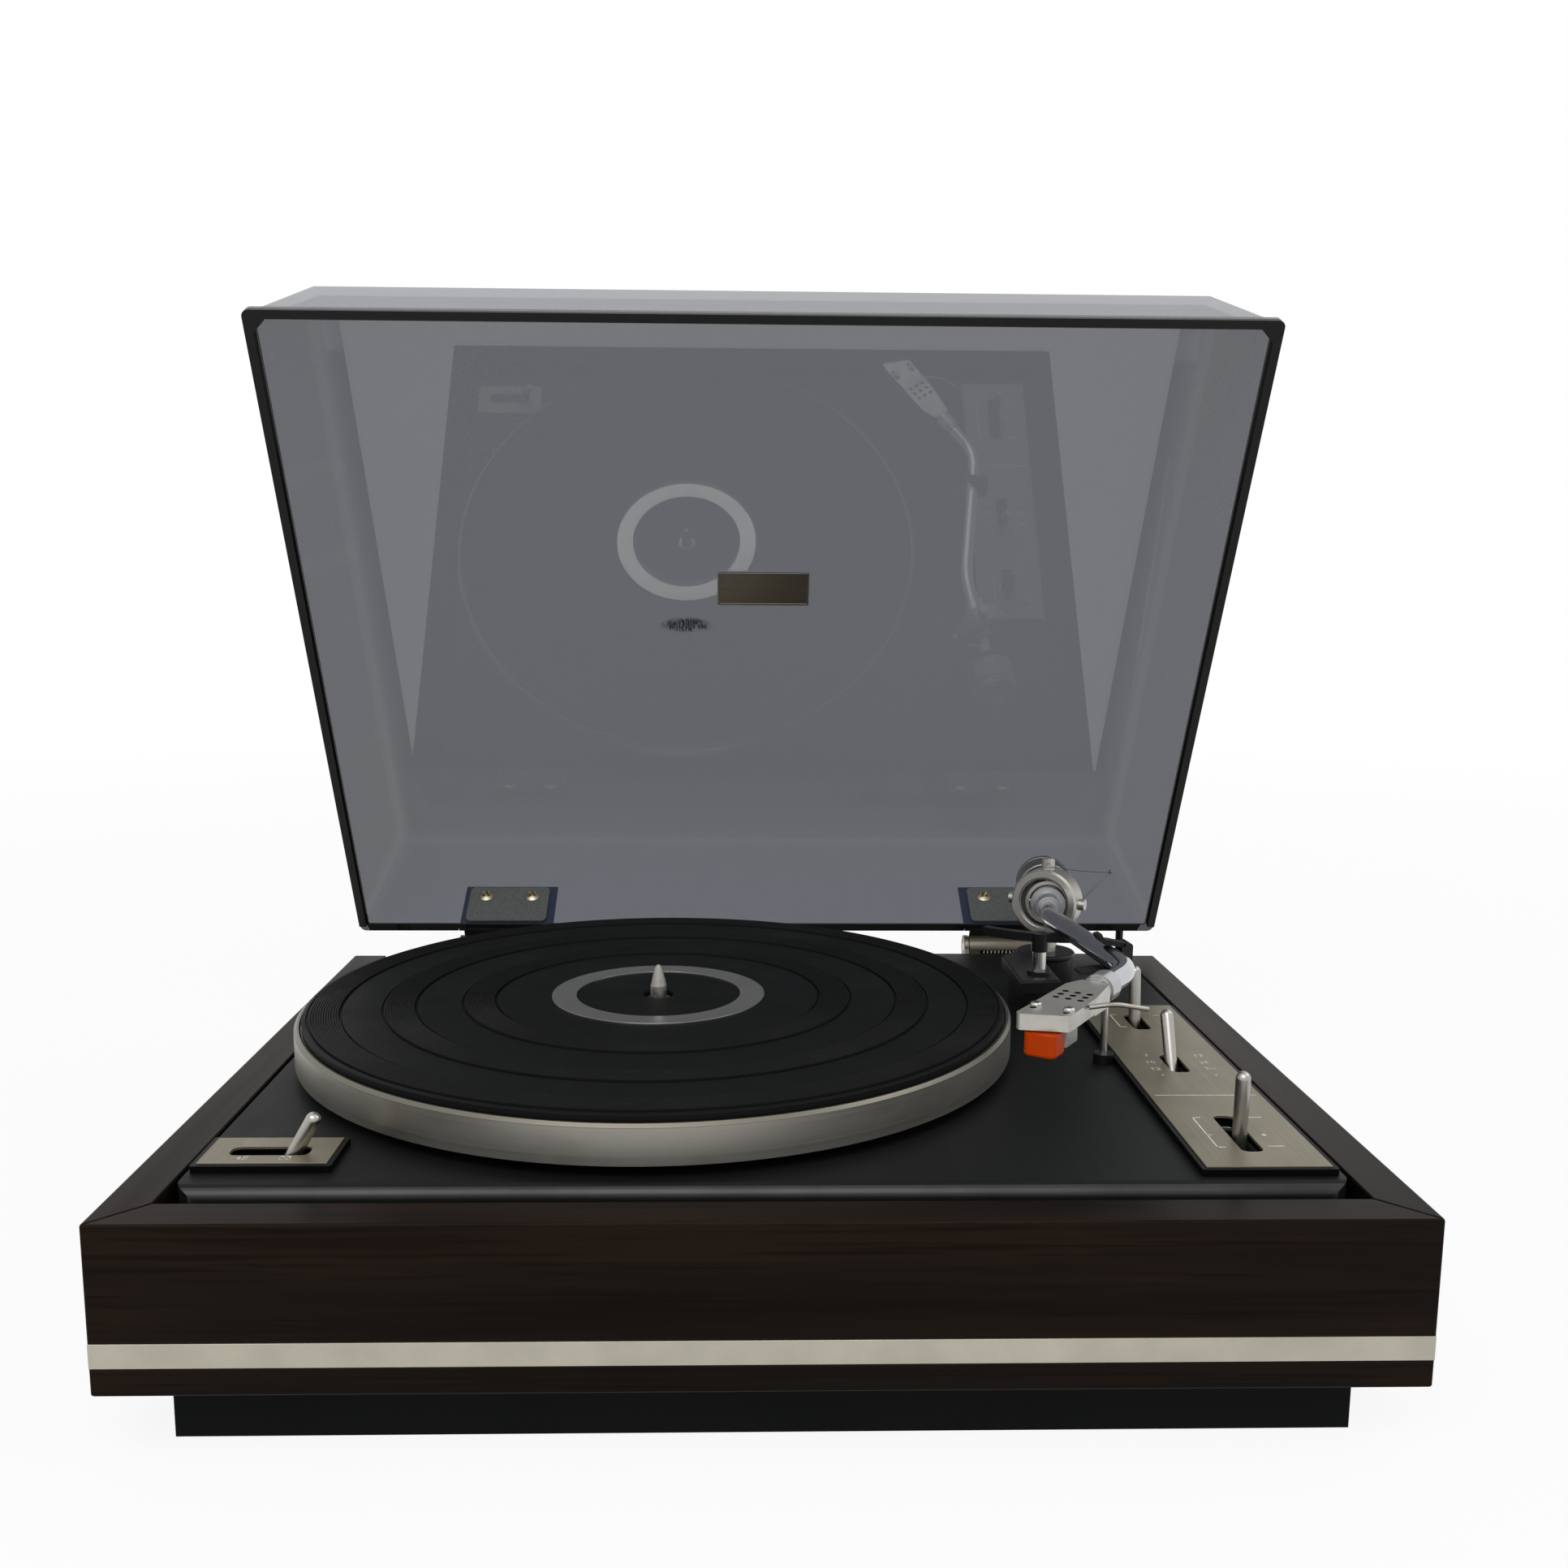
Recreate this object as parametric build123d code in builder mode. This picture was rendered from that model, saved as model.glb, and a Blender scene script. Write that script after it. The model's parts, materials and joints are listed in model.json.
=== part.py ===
from build123d import *
import math
import os

os.makedirs("parts", exist_ok=True)

# Plinth: a wooden case on a recessed black base. All lengths are in millimetres.
plinth_front = 169
board_height = 59
board_thickness = 17
skirt_height = 22
skirt_side_inset = 21.4
skirt_front_inset = 13
skirt_thickness = 12
bottom_thickness = 4
stripe_rise = 9.7
stripe_height = 8.5
stripe_depth = 1.5
rear_panel_thickness = 12
block_size = 27
base_screw_radius = 2
base_screw_head = 4
base_screw_length = 44
fit_gap = 0.05
seat_gap = 0.3
overrun = 1

# Deck: a pressed pan that drops into the case
deck_rise = 1
deck_drop = 14
deck_sheet = 2
deck_side_gap = 2.5
deck_front_gap = 9
deck_front_radius = 5
deck_corner_radius = 8

# Turntable platter
platter_radius = 154
platter_side_margin = 20.6
platter_front_margin = 32.5
platter_rear_margin = 5.5
platter_height = 15.1
platter_gap = 4.6
platter_rim = 2.7
platter_bevel = 1.2
platter_plate = 4
mat_thickness = 4
mat_margin = 3.1
mat_edge = 1
mat_bevel = 2.6
band_rise = 0.6
band_slope = 0.5
rib_depth = 0.7
rib_count = 5
rib_band_shares = ((0.9, 0.982), (0.695, 0.78), (0.472, 0.558))
label_outer_radius = 46.7
label_width = 10.7
label_thickness = 0.9
label_sunk = 0.5
mat_eye_radius = 6.5
mat_eye_depth = 1.5
spindle_radius = 3.55
spindle_tip_radius = 1.6
spindle_rise = 12.6
spindle_taper = 9.3
spindle_collar_radius = 5.5
shaft_radius = 5
spindle_depth = 59.1
hub_radius = 11
hub_drop = 7.5
drum_radius = 86
drum_wall = 6
drum_drop = 9
housing_radius = 9
housing_flange_radius = 16
housing_flange_thickness = 2.3
housing_rise = 5
ball_radius = 2.5
thrust_pad_thickness = 4

# Motor and belt
motor_rim_gap = 23.3
motor_angle = 215
motor_radius = 27
motor_height = 38
motor_plate_size = 62
motor_plate_thickness = 2
grommet_radius = 4
grommet_height = 4
grommet_inset = 7
motor_shaft_radius = 1.6
motor_shaft_depth = 24
motor_rpm = 300
slow_rpm = 100 / 3
fast_rpm = 45
belt_height = 4.4
belt_thickness = 0.8
belt_gap = 0.3
pulley_step = 5
pulley_crown = 0.4
pulley_hole_gap = 2

# Control plates, slots and levers
plate_border = 1.8
bezel_height = 2.6
bezel_recess = 0.6
face_thickness = 1
plate_corner = 1.2
left_plate_width = 45
left_plate_depth = 24
left_plate_side_margin = 5.5
left_plate_front_margin = 41
right_plate_width = 44.5
right_plate_side_margin = 6.3
right_plate_front_margin = 35
right_plate_rear_gap = 32.7
slot_width = 8
slot_round = 2.8
deck_slot_margin = 1.5
lever_radius = 2.7
lever_hub_radius = 5
lever_hub_width = 10.8
pin_radius = 1.5
bracket_sheet = 1.5
bracket_width = 18
bracket_eye = 4.5
bracket_margin = 5

speed_slot_shift = 0.8
right_slot_shift = 0.85
start_slot_at = 31.6
cue_slot_at = 27.5
size_slot_share = 0.57255

# Tonearm
pivot_from_platter = 34.3
pivot_from_plate = 9.3
pivot_from_rear = 79.3
arm_height = 47
tube_radius = 4.5
rear_heading = 9
middle_heading = -7.07
shell_heading = 34
first_bend_at = 38
first_bend_radius = 70
second_bend_at = 97
second_bend_radius = 32
tube_end = 36
ring_heading = 30
ring_radius = 16.5
ring_bore = 11.8
ring_depth = 12
ring_round = 1
ring_boss_radius = 2.8
ring_boss_length = 3.2
neck_radius = 5
inner_ring_radius = 10.6
inner_ring_bore = 8.9
inner_ring_depth = 7
trunnion_radius = 1.5
side_trunnion_radius = 1.2
head_radius = 3.2
head_height = 4.3
thread_pin_radius = 0.8
thread_pin_length = 6.5
pillar_radius = 13.5
pillar_height = 19.5
pillar_cap_radius = 14.5
pillar_cap_height = 2.5
sleeve_radius = 7.4
sleeve_collar_radius = 8.4
sleeve_nose_radius = 5.6
sleeve_rear = 9
sleeve_collar_start = 5.4
sleeve_collar_end = 9
sleeve_front = 17
sleeve_seat = 6
weight_shaft_radius = 4
weight_shaft_end = 55
weight_radius = 14
weight_start = 28.5
weight_length = 21
weight_chamfer = 1.2
weight_groove_depth = 0.8
weight_groove_width = 1.6
dial_radius = 12
dial_length = 4
wire_radius = 0.45
wire_reach = (14.6, 16.5, 16)

# Headshell, cartridge and locking collar, along the last straight run of the tube
collar_start = 24.5
collar_length = 13
collar_radius = 6.2
collar_flange = 0.7
collar_flange_width = 2.2
shell_start = 38
shell_top = 4
shell_depth = 6
shell_plate = 1.6
shell_wall = 1.2
shell_neck_length = 16
shell_neck_width = 11.6
shell_neck_drop = 5
shell_outline = ((38, -5.6), (47, -8.8), (95.5, -9.2), (88, 9.2), (60, 8.5), (47, 6.8), (38, 5.6))
shell_corner = 2
vent_radius = 1.3
vent_pitch = 4.8
vent_middle = 62
cartridge_middle = 0
cartridge_width = 12
cartridge_start = 71
cartridge_end = 86.5
cartridge_notch = 83
cartridge_drop = 9.6
cartridge_notch_height = 2.6
cartridge_screw_spacing = 12.7
cartridge_screw_at = 82
cartridge_screw_radius = 1.2
cartridge_screw_head = 2.1
cartridge_screw_head_height = 1.5
shell_slot_length = 8
guard_end = 94.5
guard_width = 12.4
guard_drop = 11.4
guard_round = 2.8
stylus_radius = 0.5
stylus_drop = 13.7
lift_radius = 0.9
lift_points = ((70, 9.3, 3), (64, 17, 4), (51.6, 25.2, 0.4))

# Arm lifter and its base
base_outline = ((-24.2, -13.7), (-24, -62.4), (-5.1, -61.1), (-5.1, -16.2), (-17.4, -5.7))
base_thickness = 6
base_top = 23
base_foot_inset = 3.5
lifter_place = (-12.9, -47.7)
lifter_tube_radius = 3.1
lifter_tube_height = 12.5
lifter_collar_radius = 5.5
lifter_collar_height = 1.5
lifter_cap_radius = 3.9
lifter_cap_height = 8.6
lifter_cap_top = 0.9
lifter_rod_radius = 1.4
lifter_rod_drop = 16
lifter_travel = 5
lifter_bar_width = 4
lifter_bar_height = 4
lifter_bar_start_angle = -1
lifter_bar_sweep_angle = 48
front_angle = 270
lifter_gap = 0.35

# Arm rest
rest_at = 72.7
rest_post_radius = 1.5
rest_foot_radius = 4.2
rest_foot_height = 4.5
cradle_width = 8
cradle_drop = 10
cradle_wall_outer = 9.7
cradle_wall_top = 2.6
cradle_tongue = 13
cradle_gap = 0.35
clip_width = 5.6
clip_thickness = 2.2
clip_gap = 0.6
clip_curl = 5
clip_curl_start_angle = 195
clip_curl_sweep_angle = 75
clip_knuckle_radius = 1.7
clip_pivot = (8, 4.5)
clip_pin_radius = 0.7
ear_gap = 0.3

# Dust cover, drawn as if closed and then swung open about the hinge
lid_offset = 1.5
lid_side_inset = 1.5
lid_front_inset = 8
lid_front_height = 68
lid_rear_height = 76.5
lid_draft = 9.6
lid_rear_draft = 5.6
lid_wall = 3.2
lid_round = 1.6
lid_lip = 1.5
lid_lip_height = 2.5
lid_open_angle = 62.85
lid_seat = 2.6
lid_overhang = 1.2
hinge_setback = 13.5
hinge_rise = 1.6
hinge_spread = 140.4
hinge_width = 51.5
hinge_leaf_height = 34
hinge_sheet = 1.6
hinge_sleeve_radius = 6
hinge_sleeve_bore = 4.6
hinge_pin_radius = 2.5
hinge_cheek = 2.5
hinge_cheek_radius = 6.5
hinge_side_gap = 0.4
hinge_plate_height = 30
hinge_window_length = 34
hinge_window_height = 5
clamp_inset = 2
clamp_gap = 0.15
clamp_thickness = 1.2
clamp_corner = 3
hinge_screw_pitch = 25.8
hinge_screw_rise = 21.5
hinge_screw_radius = 2
hinge_screw_head = 4.3
hinge_screw_head_height = 2
spring_radius = 3.8
spring_wire = 0.6
spring_pitch = 2.1
spring_curls = 15
spring_samples = 24
strip_thickness = 2.2
strip_width = 3.8
pad_leg = 6.5
pad_thickness = 2.4
badge_width = 47.9
badge_depth = 19
badge_from_rear = 175
badge_x = 2.5
badge_thickness = 1.2
badge_rim = 1
badge_recess = 0.3
stop_radius = 2.1
stop_inset = 16
stop_setback = 12.5
stop_block = 8
stop_top = 11.4

# Rear panel fittings
mains_x = -95
signal_x = 60
earth_x = 84
fitting_rise = 18
gland_radius = 6
gland_flange_radius = 8.5
gland_flange = 2
gland_bore = 3.2
earth_radius = 2
earth_nut_radius = 4.5
earth_nut_height = 7

# Places worked out from the sizes above
right_zone = pivot_from_platter + pivot_from_plate + right_plate_width + right_plate_side_margin + board_thickness
plinth_width = platter_side_margin + 2 * platter_radius + right_zone
plinth_depth = platter_front_margin + 2 * platter_radius + platter_rear_margin
half_width = plinth_width / 2
front_y = -plinth_front
rear_y = plinth_depth - plinth_front
platter_x = platter_side_margin + platter_radius - half_width
platter_y = front_y + platter_front_margin + platter_radius
mat_radius = platter_radius - mat_margin
label_inner_radius = label_outer_radius - label_width
motor_distance = platter_radius - platter_rim - motor_rim_gap
pivot_x = platter_x + platter_radius + pivot_from_platter
pivot_y = rear_y - pivot_from_rear
lifter_x = pivot_x + lifter_place[0]
lifter_y = pivot_y + lifter_place[1]
left_plate_x = board_thickness + left_plate_side_margin + left_plate_width / 2 - half_width
left_plate_y = front_y + left_plate_front_margin + left_plate_depth / 2
right_plate_front = front_y + right_plate_front_margin
right_plate_rear = pivot_y - right_plate_rear_gap
right_plate_depth = right_plate_rear - right_plate_front
right_plate_x = pivot_x + pivot_from_plate + right_plate_width / 2
right_plate_y = (right_plate_front + right_plate_rear) / 2
right_slot_x = right_plate_x - right_slot_shift
start_slot_y = right_plate_front + start_slot_at
cue_slot_y = right_plate_rear - cue_slot_at
size_slot_y = start_slot_y + (cue_slot_y - start_slot_y) * size_slot_share
lid_width = plinth_width - 2 * lid_side_inset
lid_depth = plinth_depth - lid_front_inset
stop_x = lid_offset + lid_width / 2 - stop_inset
plinth_top = skirt_height + board_height
deck_top = plinth_top + deck_rise
deck_under = deck_top - deck_sheet
deck_bottom = deck_top - deck_drop
deck_half = half_width - board_thickness - deck_side_gap
deck_front = front_y + board_thickness + deck_front_gap
platter_bottom = deck_top + platter_gap
platter_top = platter_bottom + platter_height
mat_bottom = platter_top - overrun + label_sunk - seat_gap
mat_top = mat_bottom + mat_thickness
plate_bottom = mat_bottom - platter_plate
hub_bottom = mat_bottom - platter_plate - hub_drop
drum_bottom = plate_bottom - drum_drop
spindle_bottom = deck_under - 2 * housing_radius - spindle_depth + spindle_rise + hub_drop
face_top = deck_top + bezel_height - bezel_recess + face_thickness
arm_z = deck_top + arm_height
block_middle_x = half_width - board_thickness - block_size / 2
block_middle_y = rear_y - rear_panel_thickness - block_size / 2
hinge_y = rear_y + hinge_setback
hinge_z = plinth_top + hinge_rise

# Each lever: its slot's middle and length, its place and lean at the face, its pivot's
# depth below the face and how far it stands above it
speed_slot = {"x": left_plate_x, "y": left_plate_y - speed_slot_shift, "length": 28, "along": "x",
              "place": 8.6, "lean": 30, "depth": 15, "stand": 16}
start_slot = {"x": right_slot_x, "y": start_slot_y, "length": 36, "along": "y",
              "place": -2.3, "lean": -1.5, "depth": 30, "stand": 24.6}
size_slot = {"x": right_slot_x, "y": size_slot_y, "length": 22.4, "along": "y",
             "place": 5.6, "lean": 27, "depth": 13, "stand": 21.5}
cue_slot = {"x": right_slot_x, "y": cue_slot_y, "length": 23, "along": "y",
            "place": 4, "lean": 8, "depth": 14, "stand": 25}
slots = (speed_slot, start_slot, size_slot, cue_slot)


def heading(angle):
    """The unit vector in plan that points forward, turned to the left by an angle."""
    turn = math.radians(angle)
    return Vector(-math.sin(turn), -math.cos(turn), 0)


def across(angle):
    """The unit vector in plan that points to the right of a heading."""
    turn = math.radians(angle)
    return Vector(math.cos(turn), -math.sin(turn), 0)


def upright(x, y):
    """The plane in which a profile of radius and height is drawn round a vertical line."""
    return Plane(origin=(x, y, 0), x_dir=(1, 0, 0), z_dir=(0, -1, 0))


def turned(points, x, y):
    """A solid turned about the vertical line through x, y."""
    with BuildPart() as form:
        with BuildSketch(upright(x, y)):
            Polygon(*points, align=None)
        revolve(axis=Axis((x, y, 0), (0, 0, 1)))
    return form.part


def turned_along(points, origin, direction):
    """A solid turned about a level line: the points are distance along it and radius."""
    with BuildPart() as form:
        plane = Plane(origin=origin, x_dir=direction, z_dir=direction.cross(Vector(0, 0, 1)))
        with BuildSketch(plane):
            Polygon(*points, align=None)
        revolve(axis=Axis(origin, direction))
    return form.part


def ring_points(inner, outer, low, high):
    """The four corners of a plain ring's section."""
    return ((inner, low), (outer, low), (outer, high), (inner, high))


def bar(start, end, radius):
    """A round bar from one point to another."""
    run = end - start
    with BuildPart() as form:
        with BuildSketch(Plane(origin=start, z_dir=run.normalized())):
            Circle(radius)
        extrude(amount=run.length)
    return form.part


def screw(plane, head_radius, head_height, shank_radius, shank_length):
    """A pan-head screw with a cross recess: the head stands on the plane, the shank goes below."""
    with BuildPart() as form:
        with BuildSketch(plane):
            Circle(head_radius)
        extrude(amount=head_height)
        fillet(form.faces().sort_by(Axis(plane.origin, plane.z_dir))[-1].edges(), head_height * 0.6)
        with BuildSketch(plane.offset(head_height)):
            Rectangle(head_radius * 1.1, head_radius * 0.28)
            Rectangle(head_radius * 0.28, head_radius * 1.1)
        extrude(amount=-head_height / 2, mode=Mode.SUBTRACT)
        with BuildSketch(plane):
            Circle(shank_radius)
        extrude(amount=-shank_length)
    return form.part


# Wooden case
front_outline = (
    (-half_width, front_y),
    (half_width, front_y),
    (half_width - board_thickness, front_y + board_thickness),
    (board_thickness - half_width, front_y + board_thickness),
)
stripe_outline = (
    (-half_width, front_y),
    (half_width, front_y),
    (half_width - stripe_depth, front_y + stripe_depth),
    (stripe_depth - half_width, front_y + stripe_depth),
)
side_outline = (
    (half_width, front_y),
    (half_width - board_thickness, front_y + board_thickness),
    (half_width - board_thickness, rear_y),
    (half_width, rear_y),
)
stripe_bottom = skirt_height + stripe_rise

with BuildPart() as front_board:
    with BuildSketch(Plane.XY.offset(skirt_height)):
        Polygon(*front_outline, align=None)
    extrude(amount=board_height)
    with BuildSketch(Plane.XY.offset(stripe_bottom)):
        Polygon(*stripe_outline, align=None)
    extrude(amount=stripe_height, mode=Mode.SUBTRACT)

with BuildPart() as front_stripe:
    with BuildSketch(Plane.XY.offset(stripe_bottom)):
        Polygon(*stripe_outline, align=None)
    extrude(amount=stripe_height)

with BuildPart() as right_board:
    with BuildSketch(Plane.XY.offset(skirt_height)):
        Polygon(*side_outline, align=None)
    extrude(amount=board_height)

with BuildPart() as left_board:
    add(mirror(right_board.part, about=Plane.YZ))

panel_width = plinth_width - 2 * board_thickness
rear_panel_top = deck_bottom
fitting_z = skirt_height + fitting_rise

with BuildPart() as rear_panel:
    with BuildSketch(Plane.XY.offset(skirt_height)):
        with Locations((0, rear_y - rear_panel_thickness / 2)):
            Rectangle(panel_width, rear_panel_thickness)
    extrude(amount=rear_panel_top - skirt_height)
    rear_face = Plane(origin=(0, rear_y, 0), x_dir=(-1, 0, 0), z_dir=(0, 1, 0))
    with BuildSketch(rear_face):
        with Locations((-mains_x, fitting_z), (-signal_x, fitting_z)):
            Circle(gland_radius + fit_gap)
        with Locations((-earth_x, fitting_z)):
            Circle(earth_radius + fit_gap)
    extrude(amount=-rear_panel_thickness, mode=Mode.SUBTRACT)

# Recessed base: a frame of rails and a bottom board inside it
middle_y = (front_y + rear_y) / 2
skirt_half_x = half_width - skirt_side_inset
skirt_half_y = plinth_depth / 2 - skirt_front_inset
screw_x = skirt_half_x - 1.5 * skirt_thickness
screw_y = skirt_half_y - skirt_thickness / 2
base_screw_places = [(sx * screw_x, middle_y + sy * screw_y) for sx in (-1, 1) for sy in (-1, 1)]

with BuildPart() as base_skirt:
    with BuildSketch():
        with Locations((0, middle_y)):
            Rectangle(2 * skirt_half_x, 2 * skirt_half_y)
            Rectangle(
                2 * (skirt_half_x - skirt_thickness),
                2 * (skirt_half_y - skirt_thickness),
                mode=Mode.SUBTRACT,
            )
    extrude(amount=skirt_height)
    with BuildSketch():
        with Locations(*base_screw_places):
            Circle(base_screw_radius + fit_gap)
    extrude(amount=skirt_height, mode=Mode.SUBTRACT)
    with BuildSketch():
        with Locations(*base_screw_places):
            Circle(base_screw_head + fit_gap)
    extrude(amount=base_screw_head, mode=Mode.SUBTRACT)

with BuildPart() as bottom_panel:
    with BuildSketch():
        with Locations((0, middle_y)):
            Rectangle(2 * (skirt_half_x - skirt_thickness), 2 * (skirt_half_y - skirt_thickness))
    extrude(amount=bottom_thickness)

with BuildPart() as base_screws:
    with BuildSketch():
        with Locations(*base_screw_places):
            Circle(base_screw_head)
    extrude(amount=base_screw_head)
    with BuildSketch(Plane.XY.offset(base_screw_head)):
        with Locations(*base_screw_places):
            Circle(base_screw_radius)
    extrude(amount=base_screw_length)

front_block_y = front_y + board_thickness + block_size / 2
block_places = [(sx * block_middle_x, y) for sx in (-1, 1) for y in (front_block_y, block_middle_y)]

with BuildPart() as corner_blocks:
    with BuildSketch(Plane.XY.offset(skirt_height)):
        with Locations(*block_places):
            Rectangle(block_size, block_size)
    extrude(amount=deck_bottom - skirt_height)
    with BuildSketch(Plane.XY.offset(skirt_height)):
        with Locations(*base_screw_places):
            Circle(base_screw_radius + fit_gap)
    extrude(amount=base_screw_length, mode=Mode.SUBTRACT)


# Deck pan: a section with a rounded front edge, cut to a plan with rounded corners
def deck_form(inset, low):
    """The deck's outer or inner form, drawn in from the outside by an inset."""
    front = deck_front + inset
    rear = rear_y - inset
    top = deck_top - inset
    radius = deck_front_radius - inset
    half = deck_half - inset
    with BuildPart() as form:
        with BuildSketch(Plane.YZ.offset(-half)):
            with BuildLine():
                Polyline((rear, top), (rear, low), (front, low), (front, top - radius))
                RadiusArc((front, top - radius), (front + radius, top), radius)
                Line((front + radius, top), (rear, top))
            make_face()
        extrude(amount=2 * half)
        with BuildSketch(Plane.XY.offset(low)):
            with Locations((0, (front + rear) / 2)):
                RectangleRounded(2 * half, rear - front, deck_corner_radius - inset)
        extrude(amount=top - low, mode=Mode.INTERSECT)
    return form.part


def slot_box(slot, margin, low, high):
    """The space of a lever's slot between two heights, widened by a margin."""
    length = slot["length"] + 2 * margin
    width = slot_width + 2 * margin
    size = (length, width) if slot["along"] == "x" else (width, length)
    with BuildPart() as form:
        with BuildSketch(Plane.XY.offset(low)):
            with Locations((slot["x"], slot["y"])):
                RectangleRounded(*size, slot_round + margin)
        extrude(amount=high - low)
    return form.part


turn = math.radians(motor_angle)
motor_x = platter_x + motor_distance * math.cos(turn)
motor_y = platter_y + motor_distance * math.sin(turn)
slow_radius = (drum_radius + belt_thickness) * slow_rpm / motor_rpm
fast_radius = (drum_radius + belt_thickness) * fast_rpm / motor_rpm
rest_foot = (
    Vector(pivot_x, pivot_y, 0)
    + heading(rear_heading) * first_bend_at
    + heading(middle_heading) * rest_at
)

with BuildPart() as deck_plate:
    add(deck_form(0, deck_bottom))
    add(deck_form(deck_sheet, deck_bottom - overrun), mode=Mode.SUBTRACT)
    with BuildSketch(Plane.XY.offset(deck_under - overrun)):
        with Locations((platter_x, platter_y)):
            Circle(housing_radius + fit_gap)
        with Locations((motor_x, motor_y)):
            Circle(fast_radius + pulley_hole_gap)
        with Locations((lifter_x, lifter_y)):
            Circle(lifter_rod_radius + 2 * seat_gap)
    extrude(amount=deck_sheet + 2 * overrun, mode=Mode.SUBTRACT)
    for slot in slots:
        add(slot_box(slot, deck_slot_margin, deck_under - overrun, deck_top + overrun), mode=Mode.SUBTRACT)


# Control plates: a black surround with a pale face let into it
def bezel(x, y, width, depth, cut):
    """The black surround of a control plate, with its slots."""
    with BuildPart() as form:
        with BuildSketch(Plane.XY.offset(deck_top)):
            with Locations((x, y)):
                RectangleRounded(width + 2 * plate_border, depth + 2 * plate_border, plate_corner)
        extrude(amount=bezel_height)
        with BuildSketch(Plane.XY.offset(deck_top + bezel_height - bezel_recess)):
            with Locations((x, y)):
                Rectangle(width, depth)
        extrude(amount=bezel_recess, mode=Mode.SUBTRACT)
        for one in cut:
            add(slot_box(one, deck_slot_margin / 2, deck_top, deck_top + bezel_height), mode=Mode.SUBTRACT)
    return form.part


def face(x, y, width, depth, cut):
    """The pale face of a control plate, with its slots."""
    low = deck_top + bezel_height - bezel_recess
    with BuildPart() as form:
        with BuildSketch(Plane.XY.offset(low)):
            with Locations((x, y)):
                Rectangle(width - 2 * fit_gap, depth - 2 * fit_gap)
        extrude(amount=face_thickness)
        for one in cut:
            add(slot_box(one, 0, low, face_top), mode=Mode.SUBTRACT)
    return form.part


left_plate = (left_plate_x, left_plate_y, left_plate_width, left_plate_depth)
right_plate = (right_plate_x, right_plate_y, right_plate_width, right_plate_depth)

with BuildPart() as plate_surrounds:
    add(bezel(*left_plate, (speed_slot,)))
    add(bezel(*right_plate, (start_slot, size_slot, cue_slot)))

with BuildPart() as control_faces:
    add(face(*left_plate, (speed_slot,)))
    add(face(*right_plate, (start_slot, size_slot, cue_slot)))


# Levers, each on a pin between two cheeks under the deck
def travel_of(slot):
    """The direction in which a lever's top moves, and the line that it turns about."""
    if slot["along"] == "x":
        return Vector(1, 0, 0), Vector(0, 1, 0)
    return Vector(0, 1, 0), Vector(1, 0, 0)


def pivot_of(slot):
    """The middle of a lever's pivot."""
    travel, _ = travel_of(slot)
    lean = math.radians(slot["lean"])
    reach = slot["place"] - slot["depth"] * math.tan(lean)
    return Vector(slot["x"], slot["y"], face_top - slot["depth"]) + travel * reach


def lever(slot):
    """A round-ended lever with its hub, bored for the pin."""
    travel, axis = travel_of(slot)
    pivot = pivot_of(slot)
    lean = math.radians(slot["lean"])
    rise = travel * math.sin(lean) + Vector(0, 0, 1) * math.cos(lean)
    length = slot["depth"] / math.cos(lean) + slot["stand"] - lever_radius
    with BuildPart() as form:
        add(bar(pivot, pivot + rise * length, lever_radius))
        with Locations(pivot + rise * length):
            Sphere(lever_radius)
        add(bar(pivot - axis * (lever_hub_width / 2), pivot + axis * (lever_hub_width / 2), lever_hub_radius))
        with BuildSketch(Plane(origin=pivot - axis * lever_hub_width, z_dir=axis)):
            Circle(pin_radius + fit_gap)
        extrude(amount=2 * lever_hub_width, mode=Mode.SUBTRACT)
    return form.part


cheek_reach = lever_hub_width / 2 + seat_gap + bracket_sheet


def lever_bracket(slot):
    """A bracket under the deck, with two cheeks that carry a lever's pin."""
    travel, axis = travel_of(slot)
    pivot = pivot_of(slot)
    length = slot["length"] + 2 * deck_slot_margin + 2 * bracket_margin
    size = (length, bracket_width) if slot["along"] == "x" else (bracket_width, length)
    half_foot = bracket_eye + bracket_margin
    drop = deck_under - pivot.Z
    with BuildPart() as form:
        with BuildSketch(Plane.XY.offset(deck_under - bracket_sheet)):
            with Locations((slot["x"], slot["y"])):
                Rectangle(*size)
        extrude(amount=bracket_sheet)
        add(slot_box(slot, deck_slot_margin, deck_under - bracket_sheet, deck_under), mode=Mode.SUBTRACT)
        for side in (-1, 1):
            near = lever_hub_width / 2 + seat_gap
            start = pivot + axis * (near if side > 0 else -near - bracket_sheet)
            plane = Plane(origin=start, x_dir=travel, z_dir=axis)
            up = 1 if plane.y_dir.Z > 0 else -1
            with BuildSketch(plane):
                Circle(bracket_eye)
                Polygon(
                    (-bracket_eye, 0),
                    (bracket_eye, 0),
                    (half_foot, up * drop),
                    (-half_foot, up * drop),
                    align=None,
                )
                Circle(pin_radius + fit_gap / 5, mode=Mode.SUBTRACT)
            extrude(amount=bracket_sheet)
    return form.part


def lever_pin(slot):
    """The pin that a lever turns on."""
    _, axis = travel_of(slot)
    reach = axis * cheek_reach
    return bar(pivot_of(slot) - reach, pivot_of(slot) + reach, pin_radius)


with BuildPart() as speed_lever:
    add(lever(speed_slot))

with BuildPart() as start_lever:
    add(lever(start_slot))

with BuildPart() as size_lever:
    add(lever(size_slot))

with BuildPart() as cue_lever:
    add(lever(cue_slot))

with BuildPart() as lever_brackets:
    for slot in slots:
        add(lever_bracket(slot))

with BuildPart() as lever_pins:
    for slot in slots:
        add(lever_pin(slot))

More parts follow.
